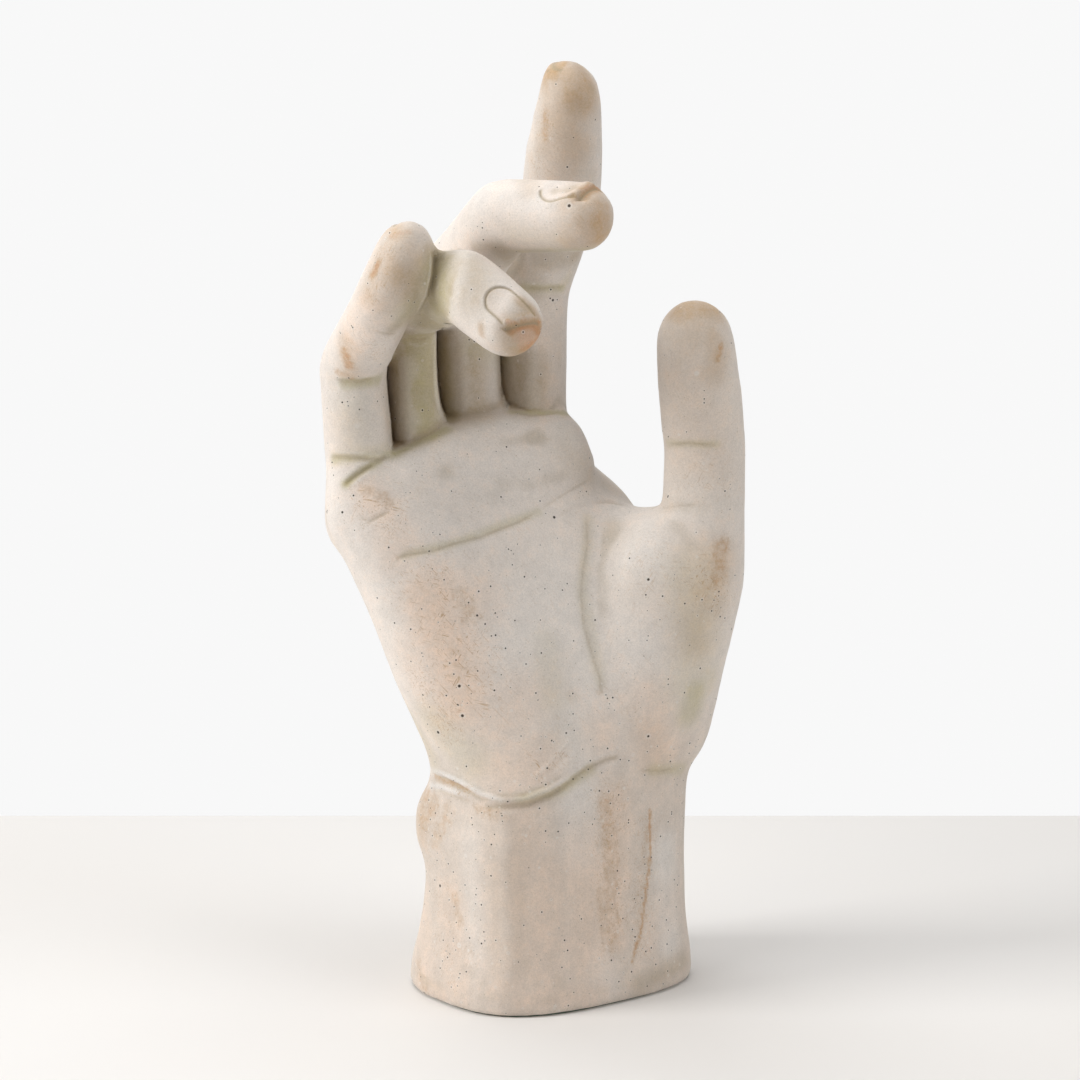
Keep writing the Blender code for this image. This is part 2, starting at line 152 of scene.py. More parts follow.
def tableOf(parts, value):
    numbers = np.empty(len(parts) * 3)
    parts.foreach_get(value, numbers)
    return numbers.reshape(-1, 3)


def faceTable(piece):
    return tableOf(piece.data.polygons, "center"), tableOf(piece.data.polygons, "normal")


def pointTable(piece):
    return tableOf(piece.data.vertices, "co"), tableOf(piece.data.vertex_normals, "vector")


def movePoints(piece, places):
    piece.data.vertices.foreach_set("co", places.ravel())
    piece.data.update()


def smoothStep(low, high, value):
    t = np.clip((value - low) / (high - low), 0, 1)
    return t * t * (3 - 2 * t)


def bell(value, middle, width):
    return np.exp(-((value - middle) / width) ** 2)


def storeShare(piece, name, amount):
    layer = piece.data.attributes.new(name, "FLOAT", "POINT")
    layer.data.foreach_set("value", np.asarray(amount, np.float32))


# the cast skin, without the hollow for now
castValues = {
    "grain": 1.8 * mm,      # size of the clay's faces
    "softenPasses": 12,     # takes the facets out
    "giveBack": 0.25 * mm,  # what that smoothing shrinks
    "uneven": 0.38 * mm,    # low dents left by the hand
    "unevenSize": 13 * mm,
    "baseRim": 5.0 * mm,    # height of the base that is left crisp
    "skinBelow": 4 * mm,    # how far the skin and the hollow run on below the base while they are worked
    "hollowBelow": 6 * mm,
    "lineStep": 1.2,        # pixels between the points of a drawn line
    "lineJump": 4 * mm,     # a longer step is a jump onto another finger
    "smoothAngle": 50,      # degrees, sharper edges stay crisp
}


def openShells():
    # Takes the ring under the base away, which leaves the skin and the hollow as two shells
    piece = copyOfNode("hand_casting", "castHand")
    centres, normals = faceTable(piece)
    base = min(corner[2] for corner in piece.bound_box)
    selectFaces(piece, (normals[:, 2] < -0.9) & (centres[:, 2] < base + 0.05 * mm))
    bpy.ops.object.mode_set(mode="EDIT")
    bpy.ops.mesh.delete(type="FACE")
    bpy.ops.mesh.select_all(action="SELECT")
    bpy.ops.mesh.separate(type="LOOSE")
    bpy.ops.object.mode_set(mode="OBJECT")
    shells = sorted(bpy.context.selected_objects, key=lambda shell: shell.dimensions.x)
    shells[-1].name, shells[0].name = "castHand", "hollowShape"
    return shells[-1], shells[0], base


def closeBelow(shell, drop):
    # Draws the open rim down and closes it
    openMesh(shell, "EDGE", "DESELECT")
    bpy.ops.mesh.select_non_manifold()
    bpy.ops.mesh.extrude_region_move(TRANSFORM_OT_translate={"value": (0, 0, -drop)})
    bpy.ops.mesh.edge_face_add()
    bpy.ops.mesh.select_all(action="SELECT")
    bpy.ops.mesh.normals_make_consistent(inside=False)
    bpy.ops.object.mode_set(mode="OBJECT")


def smoothSkin(skin, base):
    closeBelow(skin, castValues["skinBelow"])
    addAndApply(skin, "clay", "REMESH", mode="VOXEL", voxel_size=castValues["grain"])
    flesh = skin.vertex_groups.new(name="flesh")
    places, _ = pointTable(skin)
    rim = castValues["baseRim"]
    share = smoothStep(base + rim, base + 2 * rim, places[:, 2])
    for index in np.nonzero(share > 0)[0]:
        flesh.add([int(index)], float(share[index]), "REPLACE")
    addAndApply(skin, "soften", "SMOOTH", factor=0.5, iterations=castValues["softenPasses"],
                vertex_group="flesh")
    addAndApply(skin, "giveBack", "DISPLACE", strength=castValues["giveBack"], mid_level=0.0,
                vertex_group="flesh")
    dents = bpy.data.textures.new("dents", "CLOUDS")
    dents.noise_scale, dents.noise_depth = castValues["unevenSize"], 1
    addAndApply(skin, "uneven", "DISPLACE", texture=dents, strength=castValues["uneven"], mid_level=0.55,
                texture_coords="LOCAL", vertex_group="flesh")
    bpy.data.textures.remove(dents)
    addAndApply(skin, "rimSoften", "SMOOTH", factor=0.5, iterations=2)
    skin.vertex_groups.clear()
    openMesh(skin)
    bpy.ops.mesh.bisect(plane_co=(0, 0, base), plane_no=(0, 0, 1), clear_inner=True, use_fill=True)
    closeMesh()


castHand, hollowShape, baseHeight = openShells()
closeBelow(hollowShape, castValues["hollowBelow"])
smoothSkin(castHand, baseHeight)
print("cast skin", len(castHand.data.polygons), "faces")


# lines drawn on the skin: kind, width and depth in mm, and places on the picture
# a groove presses a line and a ridge raises one; a step drops the skin on the side above a line that
# runs to the right, or to the right of one that runs down
lineValues = {
    "littleOverRing": ("step", 13.0, 5.5, (430, 250), (432, 261), (431, 276), (427, 295), (419, 311),
        (408, 329)),
    "indexFoot": ("groove", 2.0, 0.5, (512, 412), (530, 415), (546, 414), (564, 411)),
    "heartLine": ("groove", 2.0, 0.45, (395, 564), (398, 558), (408, 555), (434, 551), (456, 543),
        (481, 537), (500, 529), (519, 522), (538, 511)),
    "heartEnd": ("groove", 2.0, 0.3, (538, 511), (566, 493), (592, 478)),
    "shortCrease": ("groove", 2.0, 0.5, (364, 524), (375, 519), (384, 514), (394, 510)),
    "shortCreaseLow": ("groove", 1.6, 0.3, (356, 513), (364, 519), (372, 521)),
    "lifeLine": ("groove", 2.8, 0.4, (586, 513), (588, 545), (583, 570), (581, 595), (584, 626),
        (591, 651), (600, 679), (603, 700)),
    "webCrease": ("groove", 2.0, 0.4, (588, 504), (606, 502), (619, 504), (633, 507)),
    "webCreaseLow": ("groove", 1.6, 0.25, (556, 517), (572, 508), (590, 503)),
    "thumbJoint": ("groove", 2.0, 0.45, (666, 445), (690, 443), (717, 446)),
    "thumbFoot": ("groove", 1.8, 0.35, (656, 509), (680, 506), (700, 505)),
    "thumbFootLow": ("groove", 1.6, 0.25, (652, 513), (672, 511), (694, 510)),
    "indexBend": ("groove", 2.2, 0.5, (517, 287), (540, 289), (566, 287)),
    "littleBend": ("groove", 2.6, 0.8, (334, 378), (345, 382), (360, 382), (376, 378)),
    "littleTop": ("groove", 2.0, 0.45, (374, 331), (384, 334), (395, 334), (404, 330)),
    "littleRoot": ("groove", 2.2, 0.9, (329, 457), (353, 458), (378, 460), (391, 454)),
    "littleFold": ("groove", 2.4, 1.1, (342, 487), (353, 478), (366, 468), (378, 461)),
    "ringFold": ("groove", 2.2, 0.9, (404, 338), (420, 341), (434, 337)),
    "wristRidge": ("ridge", 2.0, 1.15, (429, 770), (445, 774), (461, 782), (481, 794), (503, 800),
        (525, 799), (550, 789), (570, 777)),
    "wristRidgeLow": ("ridge", 2.0, 1.05, (429, 784), (443, 787), (456, 792), (475, 799)),
    "wristCrease": ("groove", 2.4, 0.7, (481, 807), (506, 808), (528, 805), (550, 795), (569, 783),
        (587, 769), (606, 760), (624, 756)),
    "wristSide": ("groove", 2.4, 0.4, (635, 770), (658, 771), (680, 768)),
    "tendonLeft": ("ridge", 2.0, 0.35, (575, 735), (560, 752), (545, 768), (530, 783)),
    "tendonRight": ("ridge", 1.8, 0.3, (583, 742), (572, 756), (560, 768), (548, 779)),
}
# across a line: middle and width in shares of the line's width, and in mm for a step
profileValues = {
    "groove": (0, 0.42), "bank": (1.05, 0.42), "bankHeight": 0.22, "ridge": (0, 0.5), "dirtAndShade": (0, 0.6),
    "drop": (-0.3, 0.9), "dropShade": (1.2, 2.5),
    "ends": (-1, 10),       # points over which a line fades in and out
    "refine": (1.5, 1.0),   # finer faces as far as this share of the width, and mm more
    "refineStep": 3.0,
}


def skinTree(skin):
    return BVHTree.FromObject(skin, bpy.context.evaluated_depsgraph_get())


def seenPlace(tree, across, down):
    # A place on the picture thrown onto the skin, or the skin nearest to it where it just misses
    ray = sightLine(across, down)
    return (tree.ray_cast(eyePlace(), ray)[0]
            or tree.find_nearest(eyePlace() + ray * viewValues["distance"])[0])


def drawnLine(tree, places):
    places = places if len(places) > 1 else places * 2
    found = []
    for (ax, ay), (bx, by) in zip(places, places[1:]):
        count = max(2, int(math.hypot(bx - ax, by - ay) / castValues["lineStep"]))
        found += [seenPlace(tree, ax + (bx - ax) * k / count, ay + (by - ay) * k / count)
                  for k in range(count)]
    found.append(seenPlace(tree, *places[-1]))
    found = np.array([tuple(p) for p in found])
    jumps = np.nonzero(np.linalg.norm(np.diff(found, axis=0), axis=1) > castValues["lineJump"])[0]
    return max(np.split(found, jumps + 1), key=len)


def nearLine(places, line, reach):
    # Which points are within reach of the line, how far, and which point of it is nearest
    inside = ((places > line.min(0) - reach) & (places < line.max(0) + reach)).all(1)
    index = np.nonzero(inside)[0]
    gaps = np.linalg.norm(places[index][:, None, :] - line[None, :, :], axis=2)
    nearest = gaps.argmin(1)
    distance = gaps[np.arange(len(index)), nearest]
    keep = distance < reach
    return index[keep], distance[keep], nearest[keep]


# soft pushes of the clay, as with a thumb: radius in mm, the push in mm, and places on the picture
# one number pushes out of the skin, and three push along x, y and z
formValues = {
    "webSlope": (11.5, (5.4, 0.0, 0.0), (570, 443), (580, 458)),
    "palmValley": (11.0, -1.2, (568, 560), (576, 620), (574, 690)),
    "heelEdge": (5.0, 0.45, (546, 655), (553, 690), (549, 725)),
    "thenarEdge": (6.0, 0.55, (600, 550), (598, 610), (606, 650)),
    "littleMound": (8.0, 0.9, (356, 503), (374, 498)),
    "ringMound": (11.0, 0.6, (440, 475), (455, 480)),
    "ringRecess": (8.0, (0.0, 2.0, 0.0), (437, 262), (440, 285), (438, 305)),
    "indexCorner": (6.0, (-1.2, 0.0, 1.6), (553, 67), (551, 74)),
    "indexPoint": (3.6, (-1.5, 0.0, 1.4), (552, 66), (552, 68)),
    "indexRound": (6.5, (-1.9, 0.0, -0.4), (589, 70), (596, 84)),
    "indexFlank": (7.0, (-0.8, 0.0, 0.0), (530, 150), (528, 168)),
    "wristEdge": (6.0, 0.9, (503, 818), (504, 900), (506, 975)),
    "wristLeft": (9.0, -0.7, (466, 840), (464, 965)),
    "wristFront": (15.0, -1.0, (556, 840), (558, 975)),
    "wristHollow": (9.0, -1.0, (592, 785), (598, 812), (600, 840)),
    "wristRight": (8.0, 0.5, (645, 800), (646, 900)),
}
formReach = 2.4     # radii, where a push has faded


def pushForms(skin):
    tree = skinTree(skin)
    for radius, push, *spot in formValues.values():
        places, normals = pointTable(skin)
        index, distance, _ = nearLine(places, drawnLine(tree, spot), radius * formReach * mm)
        towards = np.array(push) if isinstance(push, tuple) else normals[index] * push
        places[index] += towards * bell(distance, 0, radius * mm)[:, None] * mm
        movePoints(skin, places)


# the lower bones of three fingers, each behind the crisp right edge of its neighbour
# edge and far are lines on the picture that run down, foot is where the palm starts; axis, radius, deep and
# reach are in mm: the skin is round from the axis to the right, and sinks by deep over reach to the left
# blend is how softly it meets the palm, beside the edge and at far; top and between limit it in height and
# depth, in mm; side, in radii, is where the casting's own side takes over
ringEdge = ((436, 333), (436, 360), (437, 386), (440, 407), (449, 427))
gapValues = {
    "ring": {
        "edge": ((406, 333), (398, 349), (387, 367), (386, 380), (388, 400), (391, 425), (392, 452)),
        "far": ringEdge, "foot": ((388, 452), (404, 449), (419, 445), (432, 437), (450, 425)),
        "axis": ((-56.5, 5.0, 208.0), (-61.4, 12.4, 289.0)), "radius": 14.5, "deep": 10.0, "reach": 8.5,
        "blend": (1.5, 8.0), "top": (264, 273), "between": (-19, 24)},
    "middle": {
        "edge": ringEdge, "far": ((500, 330), (500, 362), (501, 386), (505, 401), (511, 412)),
        "foot": ((444, 428), (470, 421), (490, 417), (512, 411)),
        "axis": ((-33.5, 18.0, 214.0), (-38.8, 29.4, 300.1)), "radius": 15.4, "deep": 11.0, "reach": 11.0,
        "blend": (4.0, 9.0), "top": (280, 290), "between": (-14, 34)},
    "index": {
        "edge": ((503, 300), (500, 330), (500, 362), (501, 386), (505, 401), (511, 413)),
        "far": ((575, 300), (575, 420)), "foot": ((508, 412), (530, 416), (546, 415), (567, 412)),
        "axis": ((-9.0, 24.0, 214.0), (-6.6, 31.9, 292.6)), "radius": 14.9, "deep": 12.0, "reach": 12.0,
        "blend": (1.5, 2.5), "top": (284, 296), "between": (-4, 38), "side": (0.55, 0.8)},
}
edgeValues = {
    "refineBand": 5, "above": 2, "below": 4,    # pixels beside, above and below an edge
    "snap": 1.2, "beside": 0.15,    # points as near as this go onto the edge, this far beside it, in pixels
    "refineTurn": 0.5, "pressTurn": 0.45,       # skin that faces further away than this is left alone
    "sinkEnd": 1.2, "sinkBend": 1.5,            # how the skin sinks left of the axis
}


def refineFaces(skin, chosen):
    selectFaces(skin, chosen)
    takeHold(skin)
    bpy.ops.object.mode_set(mode="EDIT")
    bpy.ops.mesh.select_mode(type="FACE")
    bpy.ops.object.mode_set(mode="OBJECT")
    selectFaces(skin, chosen)
    bpy.ops.object.mode_set(mode="EDIT")
    bpy.ops.mesh.subdivide(number_cuts=1)
    bpy.ops.mesh.vertices_smooth(factor=0.5, repeat=2)
    closeMesh()


def acrossAt(down, line):
    across, rows = np.array(line, float).T
    return np.interp(down, rows, across)


def downAt(across, line):
    columns, down = np.array(line, float).T
    return np.interp(across, columns, down)


def onFinger(values, places, normals, turn):
    low, high = values["between"]
    return (places[:, 1] > low * mm) & (places[:, 1] < high * mm) & (normals[:, 1] < turn)


def refineGaps(skin):
    centres, normals = faceTable(skin)
    across, down = pictureOf(centres)
    chosen, band = np.zeros(len(centres), bool), edgeValues["refineBand"]
    for values in gapValues.values():
        edge, foot = values["edge"], values["foot"]
        near = (down > edge[0][1]) & (down < edge[-1][1] + edgeValues["below"])
        near &= np.abs(across - acrossAt(down, edge)) < band
        near |= (np.abs(down - downAt(across, foot)) < band) & (across > foot[0][0]) & (across < foot[-1][0])
        chosen |= near & onFinger(values, centres, normals, edgeValues["refineTurn"])
    refineFaces(skin, chosen)


def pressGaps(skin):
    for values in gapValues.values():
        places, normals = pointTable(skin)
        across, down = pictureOf(places)
        edge, far = acrossAt(down, values["edge"]), acrossAt(down, values["far"])
        foot = downAt(across, values["foot"])
        here = onFinger(values, places, normals, edgeValues["pressTurn"]) & (across < far)
        here &= (down > values["edge"][0][1] - edgeValues["above"]) & (down < foot)
        # points close to the edge line go onto it
        gap = across - edge
        close = here & (np.abs(gap) < edgeValues["snap"])
        beside = np.where(gap > 0, edgeValues["beside"], -edgeValues["beside"])
        places[close, 0] += ((beside - gap) * viewValues["mmPerPixel"] * mm)[close]
        # the bone's own front: round to the right of its axis, and sinking to the left
        (ax, ay, az), (bx, by, bz) = values["axis"]
        run = (places[:, 2] / mm - az) / (bz - az)
        off = places[:, 0] / mm - (ax + (bx - ax) * run)
        radius = values["radius"]
        front = ay + (by - ay) * run - radius
        rounded = radius - np.sqrt(np.clip(radius ** 2 - off ** 2, 1, None))
        sink = np.clip(-off / values["reach"], 0, edgeValues["sinkEnd"]) ** edgeValues["sinkBend"]
        target = np.where(off > 0, rounded, values["deep"] * sink) + front
        blend = np.interp(np.clip(gap / np.maximum(far - edge, 1), 0, 1), (0, 1), values["blend"])
        share = smoothStep(0, 1, (foot - down) * viewValues["mmPerPixel"] / blend)
        share *= 1 - smoothStep(*values["top"], places[:, 2] / mm)
        if "side" in values:
            share *= 1 - smoothStep(*values["side"], off / radius)
        places[:, 1] += np.where(here & (gap > 0), (target * mm - places[:, 1]) * share, 0)
        movePoints(skin, places)


pushForms(castHand)
refineGaps(castHand)
pressGaps(castHand)
print("forms pushed")
tree = skinTree(castHand)
drawnLines = {name: drawnLine(tree, values[3:]) for name, values in lineValues.items()}


def refineAlongLines(skin, kinds):
    centres, _ = faceTable(skin)
    chosen = np.zeros(len(centres), bool)
    share, more = profileValues["refine"]
    for name, (kind, width, *_) in lineValues.items():
        if kind in kinds:
            band = profileValues["refineStep"] if kind == "step" else width * share + more
            chosen[nearLine(centres, drawnLines[name], band * mm)[0]] = True
    refineFaces(skin, chosen)


refineAlongLines(castHand, ("groove", "ridge", "step"))
refineAlongLines(castHand, ("step",))
print("refined to", len(castHand.data.polygons), "faces")


def lineDirections(line, span=4):
    # Along the line, smoothed over a few places
    ahead = np.roll(line, -span, 0) - np.roll(line, span, 0)
    ahead[:span], ahead[-span:] = ahead[span], ahead[-span - 1]
    return ahead / np.linalg.norm(ahead, axis=1)[:, None]


def pressLines(skin):
    # Returns where the lines are darkened: dirt and shade in the grooves, and painted shade on the sunken
    # side of each step
    shape = profileValues
    dirtAndShade = np.zeros(len(skin.data.vertices))
    for name, (kind, width, depth, *_) in lineValues.items():
        places, normals = pointTable(skin)
        line = drawnLines[name]
        index, distance, nearest = nearLine(places, line, width * mm * (1 if kind == "step" else 2))
        t = distance / (width * mm)
        fade = smoothStep(*shape["ends"], np.minimum(nearest, len(line) - 1 - nearest))
        way, dark = normals[index], 0
        if kind == "groove":
            push = -bell(t, *shape["groove"]) + shape["bankHeight"] * bell(t, *shape["bank"])
            dark = bell(t, *shape["dirtAndShade"]) * min(1, depth)
        elif kind == "ridge":
            push = bell(t, *shape["ridge"])
        else:
            away = line - np.array(eyePlace())
            away /= np.linalg.norm(away, axis=1)[:, None]
            sideways = np.cross(lineDirections(line), away)
            offset = ((places[index] - line[nearest]) * sideways[nearest]).sum(1) / mm
            push = smoothStep(*shape["drop"], offset) * np.clip(1 - offset / width, 0, 1)
            # painted shade on the sunken side of the step
            way, dark = away[nearest], bell(offset, *shape["dropShade"])
        dirtAndShade[index] = np.maximum(dirtAndShade[index], fade * dark)
        places[index] += way * (push * fade * (depth * mm))[:, None]
        movePoints(skin, places)
    return dirtAndShade


storeShare(castHand, "lineDirtAndShade", pressLines(castHand))
print("lines pressed")


# nails, each on the last bone of its digit; places in mm, the span is measured from the last joint
# slant turns the free edge, sink flattens the plate and gap is how far the flesh lies below the free edge
# the groove fades between the two places of fadeOut across the plate, and lip is the rise and reach of the
# plate's end
nailValues = {
    "ringNail": {"joint": (-35.6, -37.5, 305.4), "tip": (-16.3, -52.4, 291.7), "faces": (-0.08, -0.73, 0.68),
                 "width": 12.8, "span": (18.3, 35.2), "slant": 0.33, "sink": 0.5, "gap": 3.4,
                 "lip": (0.5, 1.2)},
    "middleNail": {"joint": (-23.5, -24.5, 325.2), "tip": (13.1, -34.7, 333.7), "faces": (-0.31, -0.36, 0.88),
                   "width": 12.4, "span": (25.4, 44.4), "slant": 0.4, "sink": 1.6, "gap": 3.0,
                   "fadeOut": (0.2, 2.4), "lip": (1.5, 2.8)},
    "indexNail": {"joint": (4.5, 24.1, 333.4), "tip": (8.2, 12.3, 377.1), "faces": (-0.85, 0.5, 0.1),
                  "width": 14.5, "span": (33.5, 58.0), "slant": 0.0, "sink": 0.3, "gap": 0.9},
    "littleNail": {"joint": (-69.9, -31.8, 293.5), "tip": (-59.1, -36.9, 319.4), "faces": (-0.5, 0.72, 0.45),
                   "width": 12.0, "span": (18.0, 36.5), "slant": 0.0, "sink": 0.3, "gap": 1.0},
    "thumbNail": {"joint": (64.6, -0.8, 231.3), "tip": (60.0, -6.8, 276.7), "faces": (0.3, 0.95, 0.1),
                  "width": 18.0, "span": (32.0, 56.0), "slant": 0.0, "sink": 0.5, "gap": 1.2},
}
# what all nails share, in mm
nailShape = {
    # height, middle and width beside the outline
    "groove": (-0.62, 0.1, 0.5), "fold": (0.32, 1.5, 1.2), "dirtAndShade": (0.8, 0.1, 0.6),
    "underShade": (0.55, 0.5),       # painted shade under the free edge: middle and width past it
    "root": 0.36, "rootEnd": 1.6, "bow": 0.09,      # round root in shares of the span, bow of the free edge
    "lip": (0.25, 0.8), "fall": 8, "fallBend": 1.6,     # the flesh comes back this far past the free edge
    "around": 6, "past": 10,        # how far from the nail the skin may move
    # where things start and end, beside the outline or past the free edge
    "inside": (0.3, -0.5), "held": (-1.2, 0.2), "flatSide": 1.0, "flatEnd": (-0.2, 0.3),
    "dropStart": (-0.15, 0.35), "dropSide": (2.4, -0.6), "underShadeSide": (1.5, -0.5), "plateEnd": (-0.2, 0.2),
    "refine": (2.6, 1.3),           # finer faces this far from the outline, in turn
}


def nailFrame(values):
    joint, tip = np.array(values["joint"]) * mm, np.array(values["tip"]) * mm
    along = (tip - joint) / np.linalg.norm(tip - joint)
    out = np.array(values["faces"], float)
    out -= along * out.dot(along)
    out /= np.linalg.norm(out)
    return joint, along, out, np.cross(out, along)


def nailPlan(values, places, normals):
    # Where each point lies on the nail's plan, in mm, how far it is outside the outline and past the free
    # edge, and how much it faces as the nail does
    joint, along, out, across = nailFrame(values)
    local = (places - joint) / mm
    start, end = values["span"]
    u, v, w = local.dot(along), local.dot(across), local.dot(out)
    half, rise = values["width"] / 2, (end - start) * nailShape["root"]
    sunk = np.clip((start + rise - u) / rise, 0, nailShape["rootEnd"])
    outside = np.where(u < start + rise, np.hypot(v / half, sunk) * half - half, np.abs(v) - half)
    past = u - end - values["slant"] * v + nailShape["bow"] * v * v / half
    return u, v, outside, past, np.where(w > 0, normals.dot(out), -1)


def refineNails(skin, reach):
    centres, normals = faceTable(skin)
    chosen = np.zeros(len(centres), bool)
    for values in nailValues.values():
        u, v, outside, past, facing = nailPlan(values, centres, normals)
        near = (np.abs(outside) < reach) & (past < reach) | (np.abs(past) < reach) & (outside < reach)
        chosen |= near & (u > values["span"][0] - reach) & (facing > 0.02)
    refineFaces(skin, chosen)


def pressNails(skin):
    # Returns where the nails are darkened, dirt and shade in the grooves and painted shade under the free
    # edges, and the plates
    shape = nailShape
    dirtAndShade, plates = np.zeros(len(skin.data.vertices)), np.zeros(len(skin.data.vertices))
    for values in nailValues.values():
        places, normals = pointTable(skin)
        u, v, outside, past, facing = nailPlan(values, places, normals)
        half, start = values["width"] / 2, values["span"][0]
        top = (facing > -0.05) & (np.abs(v) < half + shape["around"])
        top &= (u > start - shape["around"]) & (past < shape["past"])
        held = 1 - smoothStep(*shape["held"], past)     # 1 where the plate is set in skin
        if "fadeOut" in values:
            held *= 1 - smoothStep(*values["fadeOut"], v)
        groove, fold, rimDirtAndShade = (shape[name][0] * bell(outside, *shape[name][1:]) * held
                                for name in ("groove", "fold", "dirtAndShade"))
        flat = -values["sink"] * smoothStep(shape["flatSide"], -half, outside)
        flat *= 1 - smoothStep(*shape["flatEnd"], past)
        inside = smoothStep(*shape["inside"], outside)
        rise, reach = values.get("lip", shape["lip"])
        lip = rise * bell(past, -0.6 * reach, reach) * inside
        fall = np.clip(1 - past / shape["fall"], 0, 1) ** shape["fallBend"]
        drop = -values["gap"] * smoothStep(*shape["dropStart"], past) * fall
        drop *= smoothStep(*shape["dropSide"], outside)
        places += nailFrame(values)[2] * ((groove + fold + flat + lip + drop) * top * mm)[:, None]
        movePoints(skin, places)
        # painted shade under the overhanging free edge
        under = bell(past, *shape["underShade"]) * smoothStep(*shape["underShadeSide"], outside)
        dirtAndShade = np.maximum(dirtAndShade, np.maximum(rimDirtAndShade, under) * top)
        plates = np.maximum(plates, inside * (1 - smoothStep(*shape["plateEnd"], past)) * top)
    return np.clip(dirtAndShade, 0, 1), plates


for reach in nailShape["refine"]:
    refineNails(castHand, reach)
for name, amount in zip(("nailDirtAndShade", "nailPlate"), pressNails(castHand)):
    storeShare(castHand, name, amount)
print("nails pressed", len(castHand.data.polygons), "faces")


